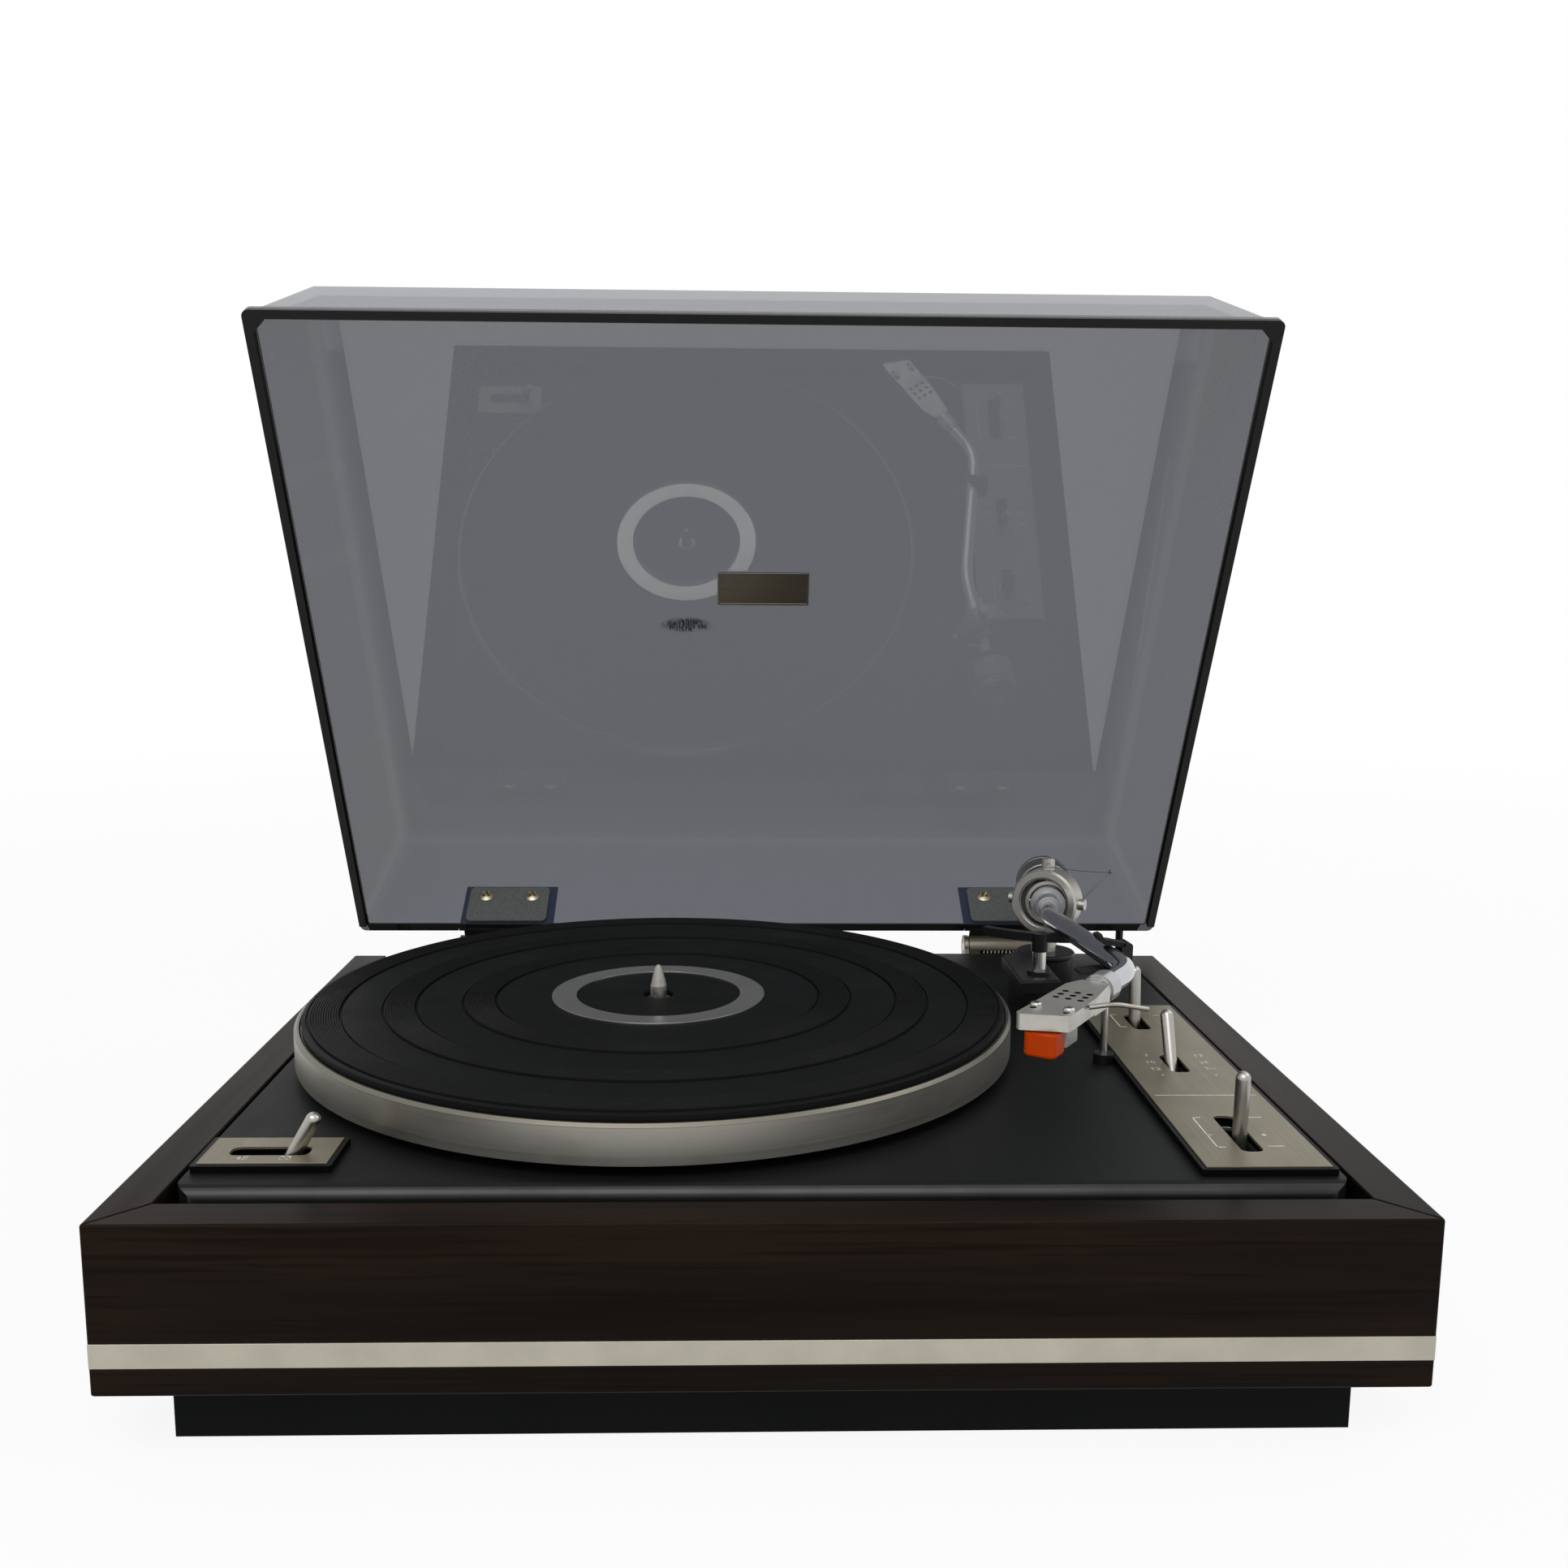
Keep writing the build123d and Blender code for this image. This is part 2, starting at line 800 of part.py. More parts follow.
# Platter: rim, plate, drive drum and hub in one turned form
rim_inner = platter_radius - platter_rim
with BuildPart() as platter:
    add(turned((
        (platter_radius, platter_bottom),
        (platter_radius, platter_top - platter_bevel),
        (platter_radius - platter_bevel, platter_top),
        (rim_inner + platter_bevel / 2, platter_top),
        (rim_inner, platter_top - platter_bevel / 2),
        (rim_inner, mat_bottom),
        (shaft_radius + fit_gap, mat_bottom),
        (shaft_radius + fit_gap, hub_bottom),
        (hub_radius, hub_bottom),
        (hub_radius, plate_bottom),
        (drum_radius - drum_wall, plate_bottom),
        (drum_radius - drum_wall, drum_bottom),
        (drum_radius, drum_bottom),
        (drum_radius, plate_bottom),
        (rim_inner - platter_bevel, plate_bottom),
        (rim_inner - platter_bevel, platter_bottom),
    ), platter_x, platter_y))

# Rubber mat: three ribbed bands, a seat for the label ring and an eye for the spindle
band_floor = mat_top - band_rise
label_seat = band_floor + label_sunk - label_thickness


def rib_points():
    """The mat's top line from its edge to the label ring: raised bands with grooves between ribs."""
    points = []
    for inner_share, outer_share in rib_band_shares:
        inner = mat_radius * inner_share
        outer = mat_radius * outer_share
        pitch = (outer - inner) / rib_count
        points.append((outer, band_floor))
        points.append((outer - band_slope, mat_top))
        for index in range(1, rib_count):
            groove = outer - index * pitch
            points.append((groove + pitch / 4, mat_top))
            points.append((groove, mat_top - rib_depth))
            points.append((groove - pitch / 4, mat_top))
        points.append((inner + band_slope, mat_top))
        points.append((inner, band_floor))
    return points


with BuildPart() as rubber_mat:
    add(turned((
        (mat_radius, mat_bottom),
        (mat_radius, mat_top - mat_edge),
        (mat_radius - mat_bevel, band_floor),
        *rib_points(),
        (label_outer_radius + fit_gap, band_floor),
        (label_outer_radius + fit_gap, label_seat),
        (label_inner_radius - fit_gap, label_seat),
        (label_inner_radius - fit_gap, band_floor),
        (mat_eye_radius, band_floor),
        (mat_eye_radius, mat_bottom),
    ), platter_x, platter_y))

with BuildPart() as label_ring:
    label_section = ring_points(
        label_inner_radius, label_outer_radius, label_seat, label_seat + label_thickness
    )
    add(turned(label_section, platter_x, platter_y))

# Spindle, its bearing and the thrust ball that it stands on
spindle_top = mat_top + spindle_rise
with BuildPart() as spindle:
    add(turned((
        (0, spindle_bottom),
        (shaft_radius, spindle_bottom),
        (shaft_radius, mat_bottom + fit_gap),
        (spindle_collar_radius, mat_bottom + fit_gap),
        (spindle_collar_radius, mat_bottom + mat_eye_depth),
        (spindle_radius, mat_bottom + mat_eye_depth),
        (spindle_radius, spindle_top - spindle_taper),
        (spindle_tip_radius, spindle_top - spindle_tip_radius / 2),
        (spindle_tip_radius / 2, spindle_top),
        (0, spindle_top),
    ), platter_x, platter_y))

housing_top = deck_top + housing_rise
ball_middle = spindle_bottom - fit_gap - ball_radius
housing_bottom = ball_middle - ball_radius
with BuildPart() as bearing_housing:
    add(turned((
        (shaft_radius + fit_gap, housing_bottom),
        (housing_radius, housing_bottom),
        (housing_radius, deck_top),
        (housing_flange_radius, deck_top),
        (housing_flange_radius, deck_top + housing_flange_thickness),
        (housing_radius, deck_top + housing_flange_thickness),
        (housing_radius, housing_top),
        (shaft_radius + fit_gap, housing_top),
    ), platter_x, platter_y))
    with BuildSketch(Plane.XY.offset(housing_bottom - thrust_pad_thickness)):
        with Locations((platter_x, platter_y)):
            Circle(housing_radius)
    extrude(amount=thrust_pad_thickness)

with BuildPart() as thrust_ball:
    with Locations((platter_x, platter_y, ball_middle)):
        Sphere(ball_radius)

# Motor on rubber grommets, with a stepped pulley
motor_top = deck_under - grommet_height - motor_plate_thickness
grommet_reach = motor_plate_size / 2 - grommet_inset
grommet_places = [
    (motor_x + sx * grommet_reach, motor_y + sy * grommet_reach) for sx in (-1, 1) for sy in (-1, 1)
]
with BuildPart() as motor:
    with BuildSketch(Plane.XY.offset(motor_top - motor_height)):
        with Locations((motor_x, motor_y)):
            Circle(motor_radius)
    extrude(amount=motor_height)
    with BuildSketch(Plane.XY.offset(motor_top)):
        with Locations((motor_x, motor_y)):
            RectangleRounded(motor_plate_size, motor_plate_size, grommet_radius)
    extrude(amount=motor_plate_thickness)
    with BuildSketch(Plane.XY.offset(motor_top + motor_plate_thickness)):
        with Locations((motor_x, motor_y)):
            Circle(motor_shaft_radius + fit_gap)
    extrude(amount=-motor_shaft_depth, mode=Mode.SUBTRACT)

with BuildPart() as motor_grommets:
    with BuildSketch(Plane.XY.offset(deck_under - grommet_height)):
        with Locations(*grommet_places):
            Circle(grommet_radius)
    extrude(amount=grommet_height)

pulley_bottom = plate_bottom - 2 * pulley_step - overrun
pulley_middle = pulley_bottom + pulley_step
pulley_top = pulley_middle + pulley_step
shaft_bottom = motor_top + motor_plate_thickness - motor_shaft_depth + seat_gap
with BuildPart() as motor_pulley:
    add(turned((
        (0, shaft_bottom),
        (motor_shaft_radius, shaft_bottom),
        (motor_shaft_radius, pulley_bottom),
        (fast_radius, pulley_bottom),
        (fast_radius + pulley_crown, (pulley_bottom + pulley_middle) / 2),
        (fast_radius, pulley_middle),
        (slow_radius, pulley_middle),
        (slow_radius + pulley_crown / 2, (pulley_middle + pulley_top) / 2),
        (slow_radius, pulley_top),
        (0, pulley_top),
    ), motor_x, motor_y))

# Flat belt round the drum and the pulley's upper step
belt_bottom = pulley_middle + (pulley_step - belt_height) / 2
belt_inner = pulley_crown / 2 + belt_gap
with BuildPart() as drive_belt:
    with BuildSketch(Plane.XY.offset(belt_bottom)):
        with Locations((platter_x, platter_y)):
            Circle(drum_radius + belt_gap + belt_thickness)
        with Locations((motor_x, motor_y)):
            Circle(slow_radius + belt_inner + belt_thickness)
        make_hull()
    extrude(amount=belt_height)
    with BuildSketch(Plane.XY.offset(belt_bottom)):
        with Locations((platter_x, platter_y)):
            Circle(drum_radius + belt_gap)
        with Locations((motor_x, motor_y)):
            Circle(slow_radius + belt_inner)
        make_hull()
    extrude(amount=belt_height, mode=Mode.SUBTRACT)

# Arm base, pillar and the fixed outer ring of the gimbal
pivot = Vector(pivot_x, pivot_y, arm_z)
base_top_z = deck_top + base_top
slab_bottom = base_top_z - base_thickness
base_points = [(pivot_x + across, pivot_y + back) for across, back in base_outline]
with BuildPart() as arm_base:
    with BuildSketch(Plane.XY.offset(slab_bottom)):
        Polygon(*base_points, align=None)
    extrude(amount=base_thickness)
    chamfer(arm_base.faces().sort_by(Axis.Z)[-1].edges(), mat_edge)
    with BuildSketch(Plane.XY.offset(deck_top)):
        Polygon(*base_points, align=None)
        offset(amount=-base_foot_inset, mode=Mode.REPLACE)
    extrude(amount=slab_bottom - deck_top)
    with BuildSketch(Plane.XY.offset(deck_top)):
        with Locations((lifter_x, lifter_y)):
            Circle(lifter_rod_radius + 2 * seat_gap)
    extrude(amount=base_top, mode=Mode.SUBTRACT)

pillar_top = deck_top + pillar_height
cap_top = pillar_top + pillar_cap_height
with BuildPart() as arm_pillar:
    with BuildSketch(Plane.XY.offset(deck_top)):
        with Locations((pivot_x, pivot_y)):
            Circle(pillar_radius)
    extrude(amount=pillar_height)
    with BuildSketch(Plane.XY.offset(pillar_top)):
        with Locations((pivot_x, pivot_y)):
            Circle(pillar_cap_radius)
    extrude(amount=pillar_cap_height)
    chamfer(arm_pillar.faces().sort_by(Axis.Z)[-1].edges(), pillar_cap_height / 3)

ring_axis = heading(ring_heading)
ring_side = across(ring_heading)
ring_plane = Plane(origin=pivot - ring_axis * (ring_depth / 2), x_dir=ring_side, z_dir=ring_axis)
ring_crown = arm_z + ring_radius
with BuildPart() as gimbal_ring:
    with BuildSketch(ring_plane):
        Circle(ring_radius)
        Circle(ring_bore, mode=Mode.SUBTRACT)
    extrude(amount=ring_depth)
    chamfer(gimbal_ring.edges().filter_by(GeomType.CIRCLE), ring_round)
    with BuildSketch(Plane.XY.offset(cap_top)):
        with Locations((pivot_x, pivot_y)):
            Circle(neck_radius)
    extrude(amount=arm_z - (ring_radius + ring_bore) / 2 - cap_top)
    boss_middle = (ring_radius + ring_bore) / 2
    for side in (-1, 1):
        root = pivot + ring_side * (side * boss_middle)
        add(bar(root, root + ring_side * (side * ring_boss_length * 1.6), ring_boss_radius))
    with BuildSketch(Plane.XY.offset(arm_z + boss_middle)):
        with Locations((pivot_x, pivot_y)):
            Circle(head_radius)
    extrude(amount=ring_crown + overrun / 2 - arm_z - boss_middle)
    with BuildSketch(Plane.XY.offset(arm_z - boss_middle - seat_gap)):
        with Locations((pivot_x, pivot_y)):
            Circle(trunnion_radius + fit_gap)
    extrude(amount=2 * ring_radius, mode=Mode.SUBTRACT)

# Swinging inner ring on its two upright trunnions, with the head that the side-thrust thread ties to
arm_axis = heading(rear_heading)
arm_side = across(rear_heading)
inner_plane = Plane(origin=pivot - arm_axis * (inner_ring_depth / 2), x_dir=arm_side, z_dir=arm_axis)
head_bottom = ring_crown + overrun / 2 + seat_gap
inner_middle = (inner_ring_radius + inner_ring_bore) / 2
with BuildPart() as gimbal_inner:
    with BuildSketch(inner_plane):
        Circle(inner_ring_radius)
        Circle(inner_ring_bore, mode=Mode.SUBTRACT)
    extrude(amount=inner_ring_depth)
    add(bar(pivot + Vector(0, 0, inner_middle), Vector(pivot_x, pivot_y, head_bottom), trunnion_radius))
    add(bar(pivot - Vector(0, 0, inner_middle), pivot - Vector(0, 0, boss_middle), trunnion_radius))
    with BuildSketch(Plane(origin=pivot - arm_side * ring_radius, z_dir=arm_side)):
        Circle(side_trunnion_radius + fit_gap)
    extrude(amount=2 * ring_radius, mode=Mode.SUBTRACT)

with BuildPart() as pivot_head:
    with BuildSketch(Plane.XY.offset(head_bottom)):
        with Locations((pivot_x, pivot_y)):
            Circle(head_radius)
    extrude(amount=head_height)
    chamfer(pivot_head.faces().sort_by(Axis.Z)[-1].edges(), head_height / 8)
    pin_root = Vector(pivot_x, pivot_y, head_bottom + head_height / 2)
    add(bar(pin_root, pin_root + arm_axis * (head_radius + thread_pin_length), thread_pin_radius))

# Wire hook of the side-thrust device, from the ring's right boss
hook_root = pivot + ring_side * (ring_radius + ring_boss_length / 2)
hook_tip = pivot + ring_side * wire_reach[0] + Vector(wire_reach[1], 0, wire_reach[2])
with BuildPart() as side_thrust_wire:
    hook_rise = hook_root + Vector(0, 0, ring_boss_radius + wire_radius)
    add(bar(hook_rise, hook_tip, wire_radius))
    with Locations(hook_tip):
        Sphere(2 * wire_radius)

# Bearing sleeve that tilts in the inner ring on two level trunnions
with BuildPart() as bearing_sleeve:
    add(turned_along((
        (-weight_shaft_end, 0),
        (-weight_shaft_end, weight_shaft_radius - fit_gap),
        (-weight_shaft_end + fit_gap, weight_shaft_radius),
        (-sleeve_rear, weight_shaft_radius),
        (-sleeve_rear, sleeve_radius - overrun),
        (-inner_ring_depth / 2 - overrun / 2, sleeve_radius - overrun),
        (-inner_ring_depth / 2 - overrun / 2, sleeve_radius),
        (sleeve_collar_start, sleeve_radius),
        (sleeve_collar_start, sleeve_collar_radius),
        (sleeve_collar_end, sleeve_collar_radius),
        (sleeve_collar_end, sleeve_radius - overrun / 2),
        (sleeve_front, sleeve_nose_radius),
        (sleeve_front, tube_radius + fit_gap),
        (-sleeve_seat, tube_radius + fit_gap),
        (-sleeve_seat, 0),
    ), pivot, arm_axis))
    trunnion_reach = inner_ring_radius - seat_gap
    for side in (-1, 1):
        root = pivot + arm_side * (side * (tube_radius + sleeve_radius) / 2)
        add(bar(root, pivot + arm_side * (side * trunnion_reach), side_trunnion_radius))

# S-shaped tube
first_bend = pivot + arm_axis * first_bend_at
second_bend = first_bend + heading(middle_heading) * second_bend_at
shell_axis = heading(shell_heading)
shell_side = across(shell_heading)
tube_start = pivot - arm_axis * (sleeve_seat - fit_gap)
with BuildPart() as arm_tube:
    with BuildLine() as tube_path:
        FilletPolyline(
            tube_start,
            first_bend,
            second_bend,
            second_bend + shell_axis * tube_end,
            radius=[first_bend_radius, second_bend_radius],
        )
    with BuildSketch(Plane(origin=tube_start, z_dir=arm_axis)):
        Circle(tube_radius)
    sweep()

# Counterweight on the rear shaft, with its dial
weight_end = weight_start + weight_length
weight_middle = weight_end - weight_length / 4
weight_bore = weight_shaft_radius + fit_gap
with BuildPart() as counterweight:
    add(turned_along((
        (-weight_start, weight_bore),
        (-weight_start, weight_radius - weight_chamfer),
        (-weight_start - weight_chamfer, weight_radius),
        (-weight_middle + weight_groove_width, weight_radius),
        (-weight_middle + weight_groove_width, weight_radius - weight_groove_depth),
        (-weight_middle, weight_radius - weight_groove_depth),
        (-weight_middle, weight_radius),
        (-weight_end + weight_chamfer, weight_radius),
        (-weight_end, weight_radius - weight_chamfer),
        (-weight_end, weight_bore),
    ), pivot, arm_axis))

with BuildPart() as force_dial:
    dial_start = weight_start - fit_gap
    add(turned_along((
        (-dial_start, weight_bore),
        (-dial_start, dial_radius),
        (-dial_start + dial_length, dial_radius),
        (-dial_start + dial_length, weight_bore),
    ), pivot, arm_axis))

# Locking collar and headshell
with BuildPart() as locking_collar:
    collar_end = collar_start + collar_length
    add(turned_along((
        (collar_start, tube_radius + fit_gap),
        (collar_start, collar_radius - collar_flange),
        (collar_start + collar_flange_width, collar_radius - collar_flange),
        (collar_start + collar_flange_width, collar_radius),
        (collar_end - collar_flange_width, collar_radius),
        (collar_end - collar_flange_width, collar_radius - collar_flange),
        (collar_end, collar_radius - collar_flange),
        (collar_end, tube_radius + fit_gap),
    ), second_bend, shell_axis))

shell_plane = Plane(origin=second_bend, x_dir=shell_axis, z_dir=(0, 0, 1))
shell_flip = 1 if shell_plane.y_dir.dot(shell_side) > 0 else -1


def shell_points(points):
    """Points given as distance along the shell and to its right, in the shell's plane."""
    return [(along, shell_flip * side) for along, side in points]


vent_grid = [
    (vent_middle + (row - 1) * vent_pitch, (column - 1) * vent_pitch)
    for row in range(3)
    for column in range(3)
]
cartridge_screws_at = [
    (cartridge_screw_at, cartridge_middle + side * cartridge_screw_spacing / 2) for side in (-1, 1)
]

with BuildPart() as headshell:
    with BuildSketch(shell_plane.offset(shell_top - shell_depth)):
        Polygon(*shell_points(shell_outline), align=None)
    extrude(amount=shell_depth)
    fillet(headshell.edges().filter_by(Axis.Z), shell_corner)
    with BuildSketch(shell_plane.offset(shell_top - shell_depth)):
        Polygon(*shell_points(shell_outline), align=None)
        offset(amount=-shell_wall, mode=Mode.REPLACE)
        with Locations((shell_start, 0)):
            Rectangle(2 * shell_neck_length, 2 * shell_neck_width, mode=Mode.SUBTRACT)
    extrude(amount=shell_depth - shell_plate, mode=Mode.SUBTRACT)
    with BuildSketch(shell_plane.offset(-shell_neck_drop)):
        with Locations((shell_start + shell_neck_length / 2, 0)):
            Rectangle(shell_neck_length, shell_neck_width)
    extrude(amount=shell_neck_drop + shell_top - shell_plate)
    add(bar(
        second_bend + shell_axis * (tube_end + fit_gap),
        second_bend + shell_axis * (shell_start + overrun),
        tube_radius,
    ))
    with BuildSketch(shell_plane.offset(shell_top)):
        with Locations(*shell_points(vent_grid)):
            Circle(vent_radius)
        with Locations(*shell_points(cartridge_screws_at)):
            SlotOverall(shell_slot_length, 2 * (cartridge_screw_radius + fit_gap))
    extrude(amount=-shell_plate - overrun, mode=Mode.SUBTRACT)

with BuildPart() as finger_lift:
    lift_path = [
        second_bend + shell_axis * along + shell_side * side + Vector(0, 0, rise)
        for along, side, rise in lift_points
    ]
    with BuildLine():
        FilletPolyline(*lift_path, radius=shell_neck_length)
    with BuildSketch(Plane(origin=lift_path[0], z_dir=lift_path[1] - lift_path[0])):
        Circle(lift_radius)
    sweep()

# Cartridge, stylus guard and stylus
shell_inside = shell_top - shell_plate - fit_gap
cartridge_side = shell_flip * cartridge_middle
with BuildPart() as cartridge_body:
    with BuildSketch(shell_plane.offset(-cartridge_notch_height)):
        with Locations(((cartridge_start + cartridge_end) / 2, cartridge_side)):
            Rectangle(cartridge_end - cartridge_start, cartridge_width)
    extrude(amount=cartridge_notch_height + shell_inside)
    with BuildSketch(shell_plane.offset(-cartridge_drop)):
        with Locations(((cartridge_start + cartridge_notch) / 2, cartridge_side)):
            Rectangle(cartridge_notch - cartridge_start, cartridge_width)
    extrude(amount=cartridge_drop - cartridge_notch_height)
    fillet(cartridge_body.edges().filter_by(Axis.Z), overrun)
    with BuildSketch(shell_plane.offset(shell_inside)):
        with Locations(*shell_points(cartridge_screws_at)):
            Circle(cartridge_screw_radius + fit_gap)
    extrude(amount=-cartridge_notch_height - shell_inside + overrun, mode=Mode.SUBTRACT)

guard_top = -cartridge_notch_height - fit_gap
guard_start = cartridge_notch + fit_gap
stylus_at = second_bend + shell_axis * (guard_start + guard_round) + shell_side * cartridge_middle
with BuildPart() as stylus_unit:
    with BuildSketch(shell_plane.offset(-guard_drop)):
        with Locations(((guard_start + guard_end) / 2, cartridge_side)):
            Rectangle(guard_end - guard_start, guard_width)
    extrude(amount=guard_drop + guard_top)
    fillet(stylus_unit.edges().filter_by(Axis.Z), guard_round)
    fillet(stylus_unit.faces().sort_by(Axis.Z)[0].edges(), guard_round / 2)
    add(bar(
        stylus_at - Vector(0, 0, guard_drop - overrun),
        stylus_at - Vector(0, 0, stylus_drop),
        stylus_radius,
    ))

with BuildPart() as cartridge_screws:
    for along, side in cartridge_screws_at:
        place = second_bend + shell_axis * along + shell_side * side + Vector(0, 0, shell_top)
        add(screw(
            Plane(origin=place, x_dir=shell_axis, z_dir=(0, 0, 1)),
            cartridge_screw_head,
            cartridge_screw_head_height,
            cartridge_screw_radius,
            shell_top + cartridge_notch_height - 2 * overrun,
        ))

# Arm lifter: a fixed tube, and a cap that slides on it and carries the curved bar
with BuildPart() as lifter_tube:
    add(turned((
        (lifter_rod_radius + fit_gap, base_top_z),
        (lifter_collar_radius, base_top_z),
        (lifter_collar_radius, base_top_z + lifter_collar_height),
        (lifter_tube_radius, base_top_z + lifter_collar_height),
        (lifter_tube_radius, base_top_z + lifter_tube_height),
        (lifter_rod_radius + fit_gap, base_top_z + lifter_tube_height),
    ), lifter_x, lifter_y))

bar_top = arm_z - tube_radius - lifter_gap
cap_bottom = bar_top - lifter_cap_height
bar_radius = math.hypot(lifter_x - pivot_x, lifter_y - pivot_y)
with BuildPart() as lifter_bar:
    add(turned((
        (0, bar_top),
        (lifter_cap_radius, bar_top),
        (lifter_cap_radius, cap_bottom),
        (lifter_tube_radius + fit_gap, cap_bottom),
        (lifter_tube_radius + fit_gap, bar_top - lifter_cap_top),
        (lifter_rod_radius, bar_top - lifter_cap_top),
        (lifter_rod_radius, deck_under - lifter_rod_drop),
        (0, deck_under - lifter_rod_drop),
    ), lifter_x, lifter_y))
    bar_start = front_angle - lifter_bar_start_angle - lifter_bar_sweep_angle
    with BuildSketch(Plane.XY.offset(bar_top - lifter_bar_height)):
        with BuildLine():
            far = CenterArc(
                (pivot_x, pivot_y), bar_radius + lifter_bar_width / 2, bar_start, lifter_bar_sweep_angle
            )
            near = CenterArc(
                (pivot_x, pivot_y), bar_radius - lifter_bar_width / 2, bar_start, lifter_bar_sweep_angle
            )
            Line(far @ 0, near @ 0)
            Line(far @ 1, near @ 1)
        make_face()
    extrude(amount=lifter_bar_height)
    with BuildSketch(Plane.XY.offset(cap_bottom)):
        with Locations((lifter_x, lifter_y)):
            Circle(lifter_tube_radius + fit_gap)
            Circle(lifter_rod_radius, mode=Mode.SUBTRACT)
    extrude(amount=lifter_cap_height - lifter_cap_top, mode=Mode.SUBTRACT)

# Arm rest: a post with a cradle, and a clip that swings over the tube
rest_along = heading(middle_heading)
rest_side = across(middle_heading)
rest_middle = Vector(rest_foot.X, rest_foot.Y, arm_z)
cradle_bottom = arm_z - cradle_drop
pin_middle = rest_middle + rest_side * clip_pivot[0] + Vector(0, 0, clip_pivot[1])


def rest_plane(back):
    """The plane across the arm at the rest, moved back along the tube, with z forward."""
    return Plane(origin=rest_middle - rest_along * back, x_dir=rest_side, z_dir=rest_along)


saddle = tube_radius + cradle_gap
with BuildPart() as arm_rest:
    add(turned((
        (0, deck_top),
        (rest_foot_radius, deck_top),
        (rest_foot_radius, deck_top + rest_foot_height),
        (rest_post_radius, deck_top + rest_foot_height),
        (rest_post_radius, cradle_bottom),
        (0, cradle_bottom),
    ), rest_foot.X, rest_foot.Y))
    with BuildSketch(rest_plane(cradle_width / 2)):
        with BuildLine():
            Line((0, -saddle), (-cradle_tongue / 2, -saddle))
            Line((-cradle_tongue / 2, -saddle), (-cradle_tongue, -saddle - overrun))
            Line((-cradle_tongue, -saddle - overrun), (-cradle_tongue, -saddle - 2 * overrun))
            Line((-cradle_tongue, -saddle - 2 * overrun), (-cradle_tongue / 2, -saddle - 2 * overrun))
            Line((-cradle_tongue / 2, -saddle - 2 * overrun), (-rest_post_radius - overrun, -cradle_drop))
            Line((-rest_post_radius - overrun, -cradle_drop), (rest_post_radius + overrun, -cradle_drop))
            Line((rest_post_radius + overrun, -cradle_drop), (cradle_wall_outer, -saddle))
            Line((cradle_wall_outer, -saddle), (cradle_wall_outer, cradle_wall_top))
            Line((cradle_wall_outer, cradle_wall_top), (saddle, cradle_wall_top))
            Line((saddle, cradle_wall_top), (saddle, 0))
            RadiusArc((saddle, 0), (0, -saddle), saddle)
        make_face()
    extrude(amount=cradle_width)
    ear = cradle_width / 2 - clip_width / 2 - ear_gap
    for back in (cradle_width / 2, -clip_width / 2 - ear_gap):
        with BuildSketch(rest_plane(back)):
            with BuildLine():
                Polyline(
                    (saddle, cradle_wall_top),
                    (cradle_wall_outer, cradle_wall_top),
                    (cradle_wall_outer, clip_pivot[1]),
                    (saddle, clip_pivot[1]),
                    close=True,
                )
            make_face()
            with Locations(clip_pivot):
                Circle(clip_knuckle_radius)
        extrude(amount=ear)
    add(bar(
        pin_middle - rest_along * (cradle_width / 2),
        pin_middle + rest_along * (cradle_width / 2),
        clip_pin_radius,
    ))

clip_line = tube_radius + clip_gap + clip_thickness / 2
with BuildPart() as rest_clip:
    with BuildSketch(rest_plane(clip_width / 2)):
        with BuildLine():
            Line(clip_pivot, (0, clip_line))
            CenterArc((0, clip_line + clip_curl), clip_curl, clip_curl_start_angle, clip_curl_sweep_angle)
        trace(line_width=clip_thickness)
        with Locations(clip_pivot):
            Circle(clip_knuckle_radius)
            Circle(clip_pin_radius + fit_gap, mode=Mode.SUBTRACT)
    extrude(amount=clip_width)


# Dust cover: everything on it is drawn in the plane of its rim, which is swung open
def opened(y, z):
    """A point of the closed cover, in a plane across the hinge, swung to the open place."""
    angle = math.radians(lid_open_angle)
    dy = y - hinge_y
    dz = z - hinge_z
    return (
        hinge_y + dy * math.cos(angle) + dz * math.sin(angle),
        hinge_z - dy * math.sin(angle) + dz * math.cos(angle),
    )


lid_rear_y = rear_y + lid_overhang
lid_rim_z = plinth_top + lid_seat
lid_angle = math.radians(lid_open_angle)
lid_plane = Plane(
    origin=(lid_offset, *opened(lid_rear_y, lid_rim_z)),
    x_dir=(1, 0, 0),
    z_dir=(0, math.sin(lid_angle), math.cos(lid_angle)),
)
panel_tilt = math.atan2(lid_rear_height - lid_front_height, lid_depth)


def lid_point(x, y, z):
    """A point given in the closed cover's own directions, from the middle of its rear rim."""
    return lid_plane.origin + lid_plane.x_dir * x + lid_plane.y_dir * y + lid_plane.z_dir * z


def lid_form(inset):
    """The cover's outer or inner form: a rim drawn up to a smaller, sloping panel."""
    low_y = -lid_depth / 2
    rear = -lid_rear_draft - inset
    front = -lid_depth + lid_draft + inset
    middle = (rear + front) / 2
    height = lid_front_height + (middle + lid_depth) * math.tan(panel_tilt) - inset
    normal = lid_plane.z_dir * math.cos(panel_tilt) - lid_plane.y_dir * math.sin(panel_tilt)
    panel_plane = Plane(origin=lid_point(0, middle, height), x_dir=(1, 0, 0), z_dir=normal)
    panel_depth = (rear - front) / math.cos(panel_tilt)
    radius = max(lid_round - inset, lid_round / 2)
    with BuildPart() as form:
        with BuildSketch(lid_plane):
            with Locations((0, low_y)):
                RectangleRounded(lid_width - 2 * inset, lid_depth - 2 * inset, radius)
        with BuildSketch(panel_plane):
            RectangleRounded(lid_width - 2 * lid_draft - 2 * inset, panel_depth, radius)
        loft()
    return form.part


